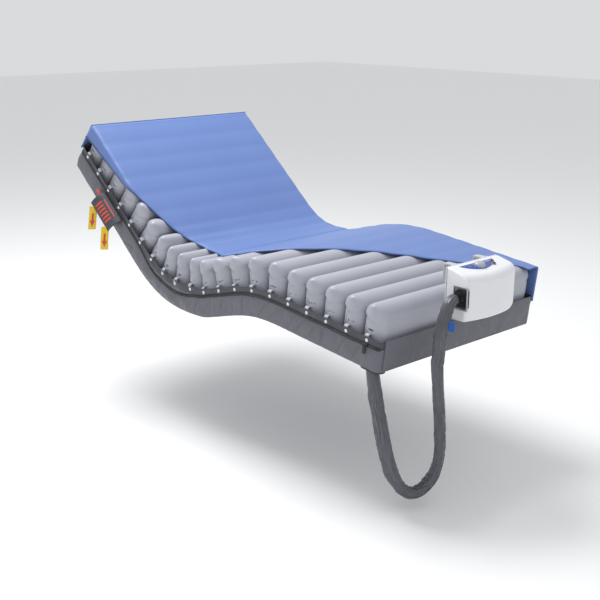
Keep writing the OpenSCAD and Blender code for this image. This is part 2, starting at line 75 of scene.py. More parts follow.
# ---- Air hose in its sleeve -------------------------------------------------
# Two soft air tubes run in one zipped sleeve of coated polyester, which is longer
# than they are and lies in loose folds. It leaves the pump's near side and goes
# into the mattress at the near foot corner.
HOSE_ROUTE = [
    (1151, -196, 266), (1153, -217, 260), (1155, -239, 236), (1155, -253, 200),
    (1151, -262, 150), (1143, -258, 75), (1137, -247, -20), (1135, -231, -120),
    (1131, -212, -225), (1126, -202, -320), (1119, -212, -392), (1108, -248, -445),
    (1094, -300, -464), (1080, -348, -443), (1067, -383, -390), (1053, -403, -325),
    (1037, -412, -255), (1019, -415, -180), (1000, -414, -110), (985, -412, -50),
    (974, -412, -5), (968.5, -412, 27),
]
HOSE_D = 50 * MM
HOSE_SIDES = 56
HOSE_STEP = 5 * MM


def smooth_line(points, step):
    """Points a step apart on the smooth curve through the given ones."""
    p = [2 * points[0] - points[1], *points, 2 * points[-1] - points[-2]]
    fine = []
    for a, b, c, d in zip(p, p[1:], p[2:], p[3:]):
        for k in range(24):
            t = k / 24
            fine.append(0.5 * (2 * b + (c - a) * t + (2 * a - 5 * b + 4 * c - d) * t * t
                               + (3 * b - a - 3 * c + d) * t ** 3))
    fine.append(points[-1].copy())
    far = [0.0]
    for a, b in zip(fine, fine[1:]):
        far.append(far[-1] + (b - a).length)
    count = max(2, round(far[-1] / step))
    line, k = [], 0
    for n in range(count + 1):
        want = far[-1] * n / count
        while k < len(far) - 2 and far[k + 1] < want:
            k += 1
        line.append(fine[k].lerp(fine[k + 1], (want - far[k]) / max(far[k + 1] - far[k], 1e-9)))
    return line, far[-1]


def skin(name, rings, closed, uv, caps=False):
    """A mesh through rings of points, with its own map in metres along and across."""
    n, m = len(rings), len(rings[0])
    verts = [p for ring in rings for p in ring]
    span = m if closed else m - 1
    faces, maps = [], []
    for i in range(n - 1):
        for j in range(span):
            k = (j + 1) % m
            faces.append((i * m + j, i * m + k, (i + 1) * m + k, (i + 1) * m + j))
            maps += [uv(i, j), uv(i, j + 1), uv(i + 1, j + 1), uv(i + 1, j)]
    if caps:
        for i in (0, n - 1):
            centre = sum((Vector(p) for p in rings[i]), Vector()) / m
            verts.append(centre)
            for j in range(m):
                k = (j + 1) % m
                corners = (i * m + j, len(verts) - 1, i * m + k)
                faces.append(corners if i == 0 else corners[::-1])
                maps += [uv(i, j)] * 3
    mesh = bpy.data.meshes.new(name)
    mesh.from_pydata([tuple(v) for v in verts], [], faces)
    layer = mesh.uv_layers.new(name="cloth_map")
    layer.data.foreach_set("uv", [c for pair in maps for c in pair])
    mesh.polygons.foreach_set("use_smooth", [True] * len(mesh.polygons))
    mesh.validate()
    piece = bpy.data.objects.new(name, mesh)
    bpy.context.scene.collection.objects.link(piece)
    return piece


def only(piece):
    """Leaves this piece alone selected and active."""
    bpy.ops.object.select_all(action="DESELECT")
    piece.select_set(True)
    bpy.context.view_layer.objects.active = piece


def finish_with(piece, kind, **settings):
    """Adds one modifier with its settings and applies it."""
    only(piece)
    added = piece.modifiers.new(kind.lower(), kind)
    for key, value in settings.items():
        setattr(added, key, value)
    bpy.ops.object.modifier_apply(modifier=added.name)
    return piece


def outward(piece):
    """Merges doubles and turns all faces outwards."""
    only(piece)
    bpy.ops.object.mode_set(mode="EDIT")
    bpy.ops.mesh.select_all(action="SELECT")
    bpy.ops.mesh.remove_doubles(threshold=1e-5)
    bpy.ops.mesh.normals_make_consistent(inside=False)
    bpy.ops.object.mode_set(mode="OBJECT")
    return piece


def rough(x, y, z, scale=1.0):
    """Smooth noise from -1 to 1 at a point."""
    return noise.noise(Vector((x, y, z)) * scale)


hose_line, hose_length = smooth_line([Vector(p) * MM for p in HOSE_ROUTE], HOSE_STEP)


def hose_rings():
    """Rings of the sleeve: flattened, with long folds that wander and short ones in the bends."""
    rings, side = [], Vector((1, 0, 0))
    n = len(hose_line)
    for k, centre in enumerate(hose_line):
        along = (hose_line[min(n - 1, k + 1)] - hose_line[max(0, k - 1)]).normalized()
        wide = 4
        bend = (hose_line[min(n - 1, k + wide)] + hose_line[max(0, k - wide)]) / 2 - centre
        side = (side - along * side.dot(along)).normalized()
        other = along.cross(side)
        u = k * HOSE_STEP
        tight = min(1.0, bend.length / (1.6 * MM))
        inner = bend.normalized() if bend.length > 1e-6 else side
        ends = min(1.0, u / 0.03, (n - 1 - k) * HOSE_STEP / 0.13)
        ring = []
        for j in range(HOSE_SIDES):
            a = math.tau * j / HOSE_SIDES
            c, s = math.cos(a), math.sin(a)
            out = side * c + other * s
            flat = 0.17 * math.cos(2 * (a - 0.9 - 1.4 * rough(u * 3.1, 5, 0)))
            folds = 0.15 * (abs(rough(c * 1.9, s * 1.9, u * 6.5)) * 2 - 0.5)
            crease = -0.17 * max(0, 1 - abs(rough(c * 2.3 + 9, s * 2.3, u * 9)) * 6)
            crinkle = 0.03 * rough(c * 5, s * 5, u * 42)
            crinkle -= 0.10 * max(0, 1 - abs(rough(c * 3.1, s * 3.1 + 4, u * 17 + c * 2)) * 5)
            gather = 0.075 * tight * max(0, out.dot(inner)) * math.sin(u * math.tau / 0.024)
            grow = 1 + (flat + folds + crease + crinkle + gather) * (0.15 + 0.85 * ends)
            r = HOSE_D / 2 * (0.86 + 0.14 * ends) * min(1.24, max(0.68, grow))
            ring.append(centre + out * r)
        rings.append(ring)
    return rings


hose = skin("hose_sleeve", hose_rings(), True,
            lambda i, j: (i * HOSE_STEP, j * math.pi * HOSE_D / HOSE_SIDES), caps=True)


def nodes_for(name):
    """A new material with its node tree emptied but for the shader and the output."""
    finish = bpy.data.materials.new(name)
    finish.use_nodes = True
    return finish, finish.node_tree, finish.node_tree.nodes["Principled BSDF"]


def add(tree, kind, inputs=(), **settings):
    """One node with its settings and its unlinked inputs."""
    made = tree.nodes.new("ShaderNode" + kind)
    for key, value in settings.items():
        setattr(made, key, value)
    for key, value in dict(inputs).items():
        made.inputs[key].default_value = value
    return made


def new_group(name, inputs, outputs):
    """A shader node group with named number, colour or vector sockets."""
    tree = bpy.data.node_groups.new(name, "ShaderNodeTree")
    for label, kind, value in inputs:
        socket = tree.interface.new_socket(name=label, in_out="INPUT", socket_type="NodeSocket" + kind)
        if value is not None:
            socket.default_value = value
    for label, kind in outputs:
        tree.interface.new_socket(name=label, in_out="OUTPUT", socket_type="NodeSocket" + kind)
    return tree, tree.nodes.new("NodeGroupInput"), tree.nodes.new("NodeGroupOutput")


# Woven cloth: threads both ways, in metres on the cloth's own map.
weave, inside, outside = new_group(
    "weave", [("Map", "Vector", None), ("Thread", "Float", 0.0006)], [("Height", "Float")])
split = add(weave, "SeparateXYZ")
weave.links.new(inside.outputs["Map"], split.inputs[0])
threads = []
for axis in "XY":
    turns = add(weave, "Math", operation="DIVIDE")
    weave.links.new(split.outputs[axis], turns.inputs[0])
    weave.links.new(inside.outputs["Thread"], turns.inputs[1])
    angle = add(weave, "Math", {1: math.pi}, operation="MULTIPLY")
    weave.links.new(turns.outputs[0], angle.inputs[0])
    swing = add(weave, "Math", operation="SINE")
    weave.links.new(angle.outputs[0], swing.inputs[0])
    threads.append(swing)
crossed = add(weave, "Math", operation="MULTIPLY")
weave.links.new(threads[0].outputs[0], crossed.inputs[0])
weave.links.new(threads[1].outputs[0], crossed.inputs[1])
raised = add(weave, "Math", {1: 0.5, 2: 0.5}, operation="MULTIPLY_ADD")
weave.links.new(crossed.outputs[0], raised.inputs[0])
weave.links.new(raised.outputs[0], outside.inputs["Height"])

# Handling: soft creases as height, and a faint change of tone from use.
handled, inside, outside = new_group(
    "handled", [("Place", "Vector", None), ("Crease Scale", "Float", 14.0), ("Tone Scale", "Float", 5.0)],
    [("Height", "Float"), ("Tone", "Float")])
folds = add(handled, "TexNoise", {"Detail": 5.0, "Roughness": 0.55, "Distortion": 0.6})
handled.links.new(inside.outputs["Place"], folds.inputs["Vector"])
handled.links.new(inside.outputs["Crease Scale"], folds.inputs["Scale"])
ridge = add(handled, "Math", {1: 0.5}, operation="SUBTRACT")
handled.links.new(folds.outputs["Fac"], ridge.inputs[0])
valley = add(handled, "Math", operation="ABSOLUTE")
handled.links.new(ridge.outputs[0], valley.inputs[0])
handled.links.new(valley.outputs[0], outside.inputs["Height"])
tones = add(handled, "TexNoise", {"Detail": 3.0, "Roughness": 0.5})
handled.links.new(inside.outputs["Place"], tones.inputs["Vector"])
handled.links.new(inside.outputs["Tone Scale"], tones.inputs["Scale"])
handled.links.new(tones.outputs["Fac"], outside.inputs["Tone"])


def cloth(name, colour, darker, roughness, thread, creases, crease_scale=14.0, sheen=0.04,
          coat=0.0, weave_depth=0.00008, spread=0.10):
    """A woven, coated cloth. The tone drifts between two colours and the coating is uneven."""
    finish, tree, shader = nodes_for(name)
    surface = add(tree, "UVMap", uv_map="cloth_map")
    place = add(tree, "TexCoord")
    pattern = add(tree, "Group", node_tree=weave)
    pattern.inputs["Thread"].default_value = thread
    used = add(tree, "Group", node_tree=handled)
    used.inputs["Crease Scale"].default_value = crease_scale
    link = tree.links.new
    link(surface.outputs["UV"], pattern.inputs["Map"])
    link(place.outputs["Object"], used.inputs["Place"])
    tint = add(tree, "Mix", data_type="RGBA")
    tint.inputs[6].default_value = (*darker, 1)
    tint.inputs[7].default_value = (*colour, 1)
    link(used.outputs["Tone"], tint.inputs[0])
    link(tint.outputs[2], shader.inputs["Base Color"])
    gloss = add(tree, "MapRange", {1: 0.3, 2: 0.7, 3: roughness - spread, 4: roughness + spread})
    link(used.outputs["Tone"], gloss.inputs[0])
    link(gloss.outputs[0], shader.inputs["Roughness"])
    fine = add(tree, "Bump", {"Strength": 0.5, "Distance": weave_depth})
    link(pattern.outputs["Height"], fine.inputs["Height"])
    coarse = add(tree, "Bump", {"Strength": 0.7, "Distance": creases})
    link(used.outputs["Height"], coarse.inputs["Height"])
    link(fine.outputs[0], coarse.inputs["Normal"])
    link(coarse.outputs[0], shader.inputs["Normal"])
    shader.inputs["Sheen Weight"].default_value = sheen
    shader.inputs["Sheen Roughness"].default_value = 0.4
    shader.inputs["Coat Weight"].default_value = coat
    shader.inputs["Coat Roughness"].default_value = 0.35
    return finish


def finish_in(piece, finish):
    """Gives the whole piece one material."""
    piece.data.materials.clear()
    piece.data.materials.append(finish)
    return piece


sleeve_cloth = cloth("sleeve_cloth", (0.10, 0.104, 0.125), (0.062, 0.065, 0.08), 0.33, 0.0007, 0.008,
                     crease_scale=22, coat=0.25)
finish_in(hose, sleeve_cloth)
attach(hose, "seat")
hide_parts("hose")


def rounded_box(name, low, high, radius, segments=3):
    """A box between two corners with all its edges rounded."""
    low, high = Vector(low), Vector(high)
    bpy.ops.object.select_all(action="DESELECT")
    bpy.ops.mesh.primitive_cube_add(size=1, location=(low + high) / 2)
    piece = bpy.context.object
    piece.name = piece.data.name = name
    piece.scale = high - low
    bpy.ops.object.transform_apply(location=True, rotation=True, scale=True)
    bpy.ops.object.mode_set(mode="EDIT")
    bpy.ops.mesh.bevel(offset=radius, segments=segments, affect="EDGES")
    bpy.ops.object.mode_set(mode="OBJECT")
    bpy.ops.object.shade_smooth_by_angle(angle=math.radians(40))
    return piece


def turned(piece, origin, degrees, axis="Z"):
    """Turns a finished piece about a point and leaves its object unturned."""
    spin = Matrix.Rotation(math.radians(degrees), 4, axis)
    piece.data.transform(Matrix.Translation(origin) @ spin @ Matrix.Translation(-Vector(origin)))
    piece.data.update()
    return piece


# The tag is a folded woven label, sewn into the sleeve's seam below the connector.
low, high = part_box("hose_tag")
tag_low = Vector((low.x, (low.y + high.y) / 2 - 0.8 * MM, low.z))
hose_tag = rounded_box("hose_tag_label", tag_low, tag_low + Vector((22, 1.6, 36)) * MM, 0.7 * MM, 2)
finish_with(hose_tag, "SUBSURF", levels=2, render_levels=2, subdivision_type="SIMPLE")
for v in hose_tag.data.vertices:
    v.co.y += 1.5 * MM * math.sin((v.co.z - tag_low.z) / (36 * MM) * 2.2 + 0.4)
turned(hose_tag, tag_low, 20)

# ---- Base cover -------------------------------------------------------------
# The tray that holds the cells: heavy nylon with a polyurethane coating, sewn from
# a floor and upright sides. A thick zip runs round it under a flap of press studs.
CELLS, SEAT_CELL, PITCH = 20, 10.3, 102 * MM
BACK_DEG, THIGH_DEG, CALF_DEG = 40.5, 15.5, 6.0
BACK_BEND, THIGH_BEND, KNEE_START, KNEE_BEND = 445 * MM, 87 * MM, 189 * MM, 377 * MM
NEUTRAL_H, LINE_STEP = 77 * MM, 10 * MM
HALF_W = 450 * MM
WALL_H, STUD_H, ZIP_H = 118 * MM, 105 * MM, 88 * MM


def ramp(s, a, b):
    t = min(1.0, max(0.0, (s - a) / (b - a)))
    return t * t * (3 - 2 * t)


def slope(s):
    """Angle of the mattress's line at distance s from the flat of the seat."""
    return math.radians(-BACK_DEG * (1 - ramp(s, -BACK_BEND, 0)) + THIGH_DEG * ramp(s, 0, THIGH_BEND)
                        - (THIGH_DEG + CALF_DEG) * ramp(s, KNEE_START, KNEE_START + KNEE_BEND))


def walk(way):
    line = [Vector((0, 0, 0))]
    for k in range(160):
        a = slope(way * (k + 0.5) * LINE_STEP)
        line.append(line[-1] + way * LINE_STEP * Vector((math.cos(a), 0, math.sin(a))))
    return line


BACK_LINE, LEG_LINE = walk(-1), walk(1)


def at(s, h, y=0.0):
    """The point at distance s along the mattress, height h above its underside and side y."""
    t = abs(s) / LINE_STEP
    k = int(t)
    line = BACK_LINE if s < 0 else LEG_LINE
    p = line[k].lerp(line[k + 1], t - k)
    a, e = slope(s), h - NEUTRAL_H
    return Vector((p.x - e * math.sin(a), y, p.z + NEUTRAL_H + e * math.cos(a)))


def cell_s(i):
    return (i - SEAT_CELL) * PITCH


HEAD_S = cell_s(0.5) - 14 * MM
FOOT_S = cell_s(CELLS + 0.5) + 14 * MM
SEAT_S, THIGH_S = 0.0, 138 * MM          # where long fabric is parted between bodies
STRETCHES = [("back", HEAD_S, SEAT_S), ("seat", SEAT_S, THIGH_S), ("legs", THIGH_S, FOOT_S)]


def follow(piece, stretch):
    """Bakes the piece's placement into its mesh, the same way for every stretch."""
    if stretch == "back":
        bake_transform(piece)
    elif stretch == "seat":
        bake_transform(piece)
    else:
        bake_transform(piece)
    return piece


def steps(a, b, gap):
    n = max(1, math.ceil((b - a) / gap - 1e-6))
    return [a + (b - a) * k / n for k in range(n + 1)]


def hip_slack(s):
    """How much the fabric is bunched at the hips, from 0 to 1."""
    return ramp(s, -0.46, -0.25) * (1 - ramp(s, -0.13, 0.06))


def zip_height(s):
    return ZIP_H - 22 * MM * hip_slack(s) + 2.5 * MM * rough(s * 7, 3, 1) + 1.2 * MM * rough(s * 17, 8, 2)


CORNER_R = 24 * MM


def wall_out(s, h, side):
    """How far the side wall's cloth stands out from its plane at one place."""
    zip_h = zip_height(s)
    slack = hip_slack(s) * (1 if side < 0 else 0.2)
    if h >= zip_h:                                     # the flap above the zip
        t = (h - zip_h) / (WALL_H - zip_h)
        near_stud = math.cos(math.pi * (s / PITCH + SEAT_CELL % 1)) ** 2
        wave = (1 - near_stud) * 3.5 * MM * rough(s * 11, 1.5, side) + 2 * MM * rough(s * 23, h * 18, 7)
        return (1.5 + 3.5 * t) * MM + wave * t + slack * t * 13 * MM * rough(s * 19, h * 14, 4)
    t = h / zip_h
    belly = math.sin(math.pi * min(1, max(0, t))) * (5 + 6 * slack) * MM
    fold = (4.6 + 5 * slack) * MM * rough(s * 16 + h * 5, h * 4, side * 3)
    fold *= math.sin(math.pi * min(1, t * 1.08))
    crease = -4.0 * MM * max(0, 1 - 6 * abs(rough(s * 13 - h * 9, h * 5, 11 + side)))
    crease *= 0.3 + t * (1 - t) * 3
    return belly + fold + crease


def corner_in(s):
    """How far the side walls turn in at the rounded corners."""
    d = min(s - HEAD_S, FOOT_S - s) / CORNER_R
    return CORNER_R * (1 - math.sqrt(max(0, 1 - (1 - d) ** 2))) if d < 1 else 0.0


def tray_section(s):
    """The cloth from the top of the far side, down, across the floor and up the near side."""
    points = []
    top = WALL_H + 2.5 * MM * rough(s * 15, 2, 2) + 1.5 * MM * math.cos(math.tau * (s / PITCH + SEAT_CELL))
    for h in [top * k / 22 for k in range(22, -1, -1)]:
        points.append((HALF_W - corner_in(s) + wall_out(s, h, 1) * 0.6, h))
    edge = HALF_W - 4 * MM - corner_in(s)
    for k in range(25):
        points.append((edge - 2 * edge * k / 24, 0.4 * MM))
    tops = top + 5 * MM * hip_slack(s) * rough(s * 21, 6, 5)
    for h in steps(0, 1, 1 / 30):
        high = h * tops
        points.append((-HALF_W + corner_in(s) - wall_out(s, high, -1), high))
    return points


def sweep(name, s0, s1, gap, section, closed=False, caps=False):
    """Cloth or tape that follows the mattress from s0 to s1 with the given section."""
    row = steps(s0, s1, gap)
    rings = [[at(s, h, y) for y, h in section(s)] for s in row]
    run = [0.0]
    for a, b in zip(section(s0), section(s0)[1:] + section(s0)[:1]):
        run.append(run[-1] + math.hypot(b[0] - a[0], b[1] - a[1]))
    return skin(name, rings, closed, lambda i, j: (row[i], run[j]), caps)


base_cloth = cloth("base_cloth", (0.15, 0.152, 0.18), (0.095, 0.097, 0.118), 0.5, 0.0009, 0.012,
                   crease_scale=17, weave_depth=0.00012)
flap_cloth = cloth("flap_cloth", (0.06, 0.062, 0.078), (0.04, 0.042, 0.053), 0.5, 0.0009, 0.006)
BASE_NODES = {"back": ("base_back",), "seat": ("base_seat", "base_thigh"), "legs": ("base_calf",)}
for stretch, s0, s1 in STRETCHES:
    tray = sweep("base_cover_" + stretch, s0, s1, 4 * MM, tray_section)
    finish_in(tray, base_cloth)
    tray.data.materials.append(flap_cloth)
    across = len(tray_section(s0)) - 1
    for face in tray.data.polygons:
        if face.index % across >= across - 8 or face.index % across <= 5:
            face.material_index = 1
    finish_with(tray, "SOLIDIFY", thickness=1.6 * MM, offset=-1)
    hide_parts(*BASE_NODES[stretch])
    follow(tray, stretch)

# The head and foot walls are the same cloth, sewn to the floor and the sides.


def end_wall(name, s, way):
    rows = []
    for h in steps(0, WALL_H, 6 * MM):
        ring = []
        for y in steps(-HALF_W + CORNER_R - 3 * MM, HALF_W - CORNER_R + 3 * MM, 10 * MM):
            edge = 1 - (abs(y) / HALF_W) ** 12
            crease = max(0, 1 - 6 * abs(rough(y * 9 + h * 11, h * 6, 17 + way)))
            out = edge * ((4 * MM + 4 * MM * rough(y * 12, h * 8, way)) * math.sin(math.pi * h / WALL_H)
                          - 3 * MM * crease)
            ring.append(at(s + way * out, h, y))
        rows.append(ring if way < 0 else ring[::-1])
    wall = skin(name, rows, False, lambda i, j: (j * 12 * MM, i * 6 * MM))
    finish_with(wall, "SOLIDIFY", thickness=1.6 * MM, offset=-1)
    return finish_in(wall, base_cloth)


for name, s, way, body in (("base_head_wall", HEAD_S, -1, "back"), ("base_foot_wall", FOOT_S, 1, "calf")):
    wall = end_wall(name, s, way)
    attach(wall, body)

# ---- Zip --------------------------------------------------------------------
# A heavy coil zip in black tape runs round the tray, and the top cover closes to it.
# Its coil stands proud of the tape, in teeth of three millimetres.
ZIP_W, TEETH, TAPE_PROUD = 18 * MM, 3 * MM, 2.2 * MM


def zip_base(s, side):
    """How far out the wall's cloth stands behind the tape, at its proudest."""
    outs = [wall_out(s, zip_height(s) + k * MM, side) for k in (-6, -3, -0.5, 3, 6)]
    return max(outs) * (0.6 if side > 0 else 1.0) - corner_in(s)


def zip_section(side, low, high, proud):
    def section(s):
        middle = zip_height(s)
        base = HALF_W + zip_base(s, side)
        shape = [(-3 * MM, low), (proud, low * 0.8), (proud * 1.1, 0.0), (proud, high * 0.8),
                 (-3 * MM, high)]
        points = [(side * (base + out), middle + up) for out, up in shape]
        return points[::-1] if side > 0 else points
    return section


def coil_section(side):
    def section(s):
        middle = zip_height(s)
        base = HALF_W + zip_base(s, side) + 2.6 * MM
        tooth = 0.5 + 0.5 * math.cos(math.tau * s / TEETH)
        r = (1.5 + 1.1 * tooth) * MM
        points = [(side * (base + 0.9 * r * math.sin(a)), middle - r * math.cos(a))
                  for a in (0, math.pi * 0.25, math.pi * 0.5, math.pi * 0.75, math.pi)]
        return points[::-1] if side > 0 else points
    return section


zip_tape = cloth("zip_tape", (0.012, 0.012, 0.014), (0.008, 0.008, 0.009), 0.55, 0.0012, 0.001)
zip_coil = cloth("zip_coil", (0.016, 0.016, 0.018), (0.010, 0.010, 0.012), 0.3, 0.0012, 0.0003, sheen=0.0)
for stretch, s0, s1 in STRETCHES:
    for side, label in ((-1, "near"), (1, "far")):
        tape_section = zip_section(side, -ZIP_W / 2, ZIP_W / 2, TAPE_PROUD)
        tape = sweep(f"zip_tape_{label}_{stretch}", s0, s1, 7 * MM, tape_section)
        finish_in(tape, zip_tape)
        coil = sweep(f"zip_coil_{label}_{stretch}", s0, s1, TEETH / 3, coil_section(side))
        finish_in(coil, zip_coil)
        for piece in (tape, coil):
            follow(piece, stretch)

# ---- Press studs ------------------------------------------------------------
# Pearl-white plastic press studs, one for each cell, hold the ends of the cells'
# tabs to the flap. Each is a domed cap with a rolled rim.
STUD_D = 13 * MM


def stud_cap(place, out):
    """One cap, shaped from a disc with its rim beveled and its middle raised."""
    bpy.ops.object.select_all(action="DESELECT")
    bpy.ops.mesh.primitive_cylinder_add(vertices=20, radius=STUD_D / 2, depth=2.4 * MM)
    cap = bpy.context.object
    bpy.ops.object.mode_set(mode="EDIT")
    bpy.ops.mesh.select_all(action="DESELECT")
    form = bmesh.from_edit_mesh(cap.data)
    for f in form.faces:
        f.select = f.normal.z > 0.9
    bmesh.update_edit_mesh(cap.data)
    bpy.ops.mesh.inset(thickness=1.3 * MM, depth=0.9 * MM)
    bpy.ops.mesh.inset(thickness=0.9 * MM, depth=-0.5 * MM)
    bpy.ops.mesh.inset(thickness=1.6 * MM, depth=1.0 * MM)
    bpy.ops.mesh.inset(thickness=1.4 * MM, depth=0.4 * MM)
    bpy.ops.object.mode_set(mode="OBJECT")
    bpy.ops.object.shade_smooth_by_angle(angle=math.radians(50))
    look = Vector(out).to_track_quat("Z", "Y").to_matrix().to_4x4()
    cap.data.transform(Matrix.Translation(place) @ look)
    return cap


def joined(name, parts):
    bpy.ops.object.select_all(action="DESELECT")
    for part in parts:
        part.select_set(True)
    bpy.context.view_layer.objects.active = parts[0]
    if len(parts) > 1:
        bpy.ops.object.join()
    whole = bpy.context.object
    whole.name = whole.data.name = name
    bpy.ops.object.transform_apply(location=True, rotation=True, scale=True)
    return whole


# Moulding: faint orange-peel and a little unevenness of gloss, as height and tone.
moulded, inside, outside = new_group(
    "moulded", [("Place", "Vector", None), ("Grain Scale", "Float", 900.0)],
    [("Height", "Float"), ("Tone", "Float")])
grain = add(moulded, "TexNoise", {"Detail": 2.0, "Roughness": 0.6})
moulded.links.new(inside.outputs["Place"], grain.inputs["Vector"])
moulded.links.new(inside.outputs["Grain Scale"], grain.inputs["Scale"])
moulded.links.new(grain.outputs["Fac"], outside.inputs["Height"])
haze = add(moulded, "TexNoise", {"Scale": 12.0, "Detail": 4.0, "Roughness": 0.6})
moulded.links.new(inside.outputs["Place"], haze.inputs["Vector"])
moulded.links.new(haze.outputs["Fac"], outside.inputs["Tone"])


def plastic(name, colour, darker, roughness, grain=900.0, depth=0.00004, coat=0.0, metal=0.0, spread=0.06):
    """A moulded or cast finish with fine grain and uneven gloss."""
    finish, tree, shader = nodes_for(name)
    place = add(tree, "TexCoord")
    form = add(tree, "Group", node_tree=moulded)
    form.inputs["Grain Scale"].default_value = grain
    link = tree.links.new
    link(place.outputs["Object"], form.inputs["Place"])
    tint = add(tree, "Mix", data_type="RGBA")
    tint.inputs[6].default_value = (*darker, 1)
    tint.inputs[7].default_value = (*colour, 1)
    link(form.outputs["Tone"], tint.inputs[0])
    link(tint.outputs[2], shader.inputs["Base Color"])
    gloss = add(tree, "MapRange", {1: 0.3, 2: 0.7, 3: roughness - spread, 4: roughness + spread})
    link(form.outputs["Tone"], gloss.inputs[0])
    link(gloss.outputs[0], shader.inputs["Roughness"])
    peel = add(tree, "Bump", {"Strength": 0.4, "Distance": depth})
    link(form.outputs["Height"], peel.inputs["Height"])
    link(peel.outputs[0], shader.inputs["Normal"])
    shader.inputs["Coat Weight"].default_value = coat
    shader.inputs["Coat Roughness"].default_value = 0.15
    shader.inputs["Metallic"].default_value = metal
    return finish


pearl = plastic("pearl_plastic", (0.86, 0.87, 0.90), (0.74, 0.75, 0.80), 0.22, coat=0.5)
STUDS = {"back": (1, 10, ("studs_back", "studs_seat")), "seat": (11, 11, ("studs_thigh",)),
         "legs": (12, 20, ("studs_calf",))}
for stretch, (first, last, nodes) in STUDS.items():
    caps = []
    for i in range(first, last + 1):
        for side in (-1, 1):
            s = cell_s(i)
            out = wall_out(s, STUD_H, side) * (0.6 if side > 0 else 1.0)
            caps.append(stud_cap(at(s, STUD_H, side * (HALF_W + out + 1.0 * MM)), (0, side, 0)))
    studs = finish_in(joined("press_studs_" + stretch, caps), pearl)
    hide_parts(*nodes)
    follow(studs, stretch)

# ---- Air cells --------------------------------------------------------------
# Twenty cells of thin coated nylon lie across the tray. Each is welded from two
# panels, with a seam down each end and a pinch a fifth of the way down, which parts
# an upper chamber from the lower one. They are inflated firm.
CELL_W, MAT_H, CELL_BASE, CELL_GAP = 93 * MM, 235 * MM, 34 * MM, 3 * MM
CELL_HALF = HALF_W - 9 * MM
PINCH_H = 184 * MM


def cell_room(i, h):
    gaps = [(at(cell_s(i + k), h) - at(cell_s(i), h)).length for k in (-1, 1) if 1 <= i + k <= CELLS]
    return min([CELL_W] + [g - CELL_GAP for g in gaps]) / 2


def cell_outline():
    """Heights and relative half widths round a cell, from the underside up the foot side."""
    outline = []
    radius_low, radius_top = 20 * MM, CELL_W / 2
    top_h = MAT_H - radius_top
    half = CELL_W / 2
    outline += [(half * k / 8, CELL_BASE) for k in range(1, 5)]
    for k in range(6):
        a = math.pi / 2 * k / 5
        outline.append((half - radius_low + radius_low * math.sin(a),
                        CELL_BASE + radius_low * (1 - math.cos(a))))
    for k in range(1, 16):
        outline.append((half, CELL_BASE + radius_low + (top_h - CELL_BASE - radius_low) * k / 16))
    for k in range(13):
        a = math.pi / 2 * k / 12
        outline.append((half * math.cos(a), top_h + radius_top * math.sin(a)))
    mirror = [(-x, h) for x, h in outline[-2::-1]]
    return outline + mirror + [(0.0, CELL_BASE)]


OUTLINE = cell_outline()


def cell_stations():
    """Places along a cell, close together in its rounded ends."""
    near = [-CELL_HALF + d * MM for d in (0, 0.8, 2, 3.5, 5.5, 8, 11, 14.5, 18.5,
                                          23, 28, 34, 41, 50, 62, 78, 100, 130)]
    return near + steps(-CELL_HALF + 0.17, CELL_HALF - 0.17, 50 * MM) + [-y for y in near[::-1]]


STATIONS = cell_stations()
END_ROUND, SEAM_DEPTH = 38 * MM, 4.5 * MM


def cell_seam(x, h, end):
    """The welded seam down the head side of a cell's end, as a narrow slit."""
    slit = math.exp(-((x / CELL_W + 0.25) / 0.06) ** 2)
    slit *= ramp(h, 50 * MM, 80 * MM)
    slit *= 1 - ramp(h, 196 * MM, 222 * MM)
    return SEAM_DEPTH * slit * math.exp(-end / (30 * MM))


def cell_point(i, y, x, h):
    """Moves a point of the plain outline to where the inflated cloth stands."""
    end = CELL_HALF - abs(y)
    side = -1 if y < 0 else 1
    t = min(1.0, end / END_ROUND)
    plan = (1 - (1 - t) ** 2.4) ** (1 / 2.1)             # rounding seen from above
    roof = (1 - (1 - min(1.0, end / (18 * MM))) ** 2.2) ** 0.5   # rounding seen from the side
    pinch = math.exp(-((h - PINCH_H) / (5 * MM)) ** 2)
    fade = math.exp(-end / (55 * MM))
    width = 2 * cell_room(i, h) / CELL_W
    high = (h - CELL_BASE) / (MAT_H - CELL_BASE)
    upper = ramp(h, PINCH_H - 6 * MM, PINCH_H + 6 * MM)
    x = x * width * plan * (1 - pinch * (0.04 + 0.07 * fade))
    x *= 1 + 0.03 * math.sin(math.pi * high)
    middle = CELL_BASE + 0.55 * (MAT_H - CELL_BASE)
    lift = 12 * MM * (1 - roof)
    h = h - lift if h > middle else h + lift * 0.6
    # the upper chamber's end stands out, the lower one's is drawn in towards its foot
    y_out = fade * (4.5 * MM * upper - 3 * MM * (1 - upper) - 2 * MM * pinch) - cell_seam(x, h, end)
    y = y + side * y_out
    seed = i * 3.7 + side * 11
    y += side * fade * 0.9 * MM * rough(x * 26 + seed, y * 8, h * 24)
    wobble = 0.8 * MM * rough(y * 9 + seed, h * 9, 2)
    x += fade * 1.2 * MM * rough(x * 18, y * 12 + seed, h * 20 + 5) + wobble
    return x, y, h


def cell_ring(i, y0):
    s = cell_s(i)
    a = slope(s)
    foot = at(s, 0)
    along, up = Vector((math.cos(a), 0, math.sin(a))), Vector((-math.sin(a), 0, math.cos(a)))
    ring = []
    for x0, h0 in OUTLINE:
        x, y, h = cell_point(i, y0, x0, h0)
        ring.append(foot + along * x + up * h + Vector((0, y, 0)))
    return ring


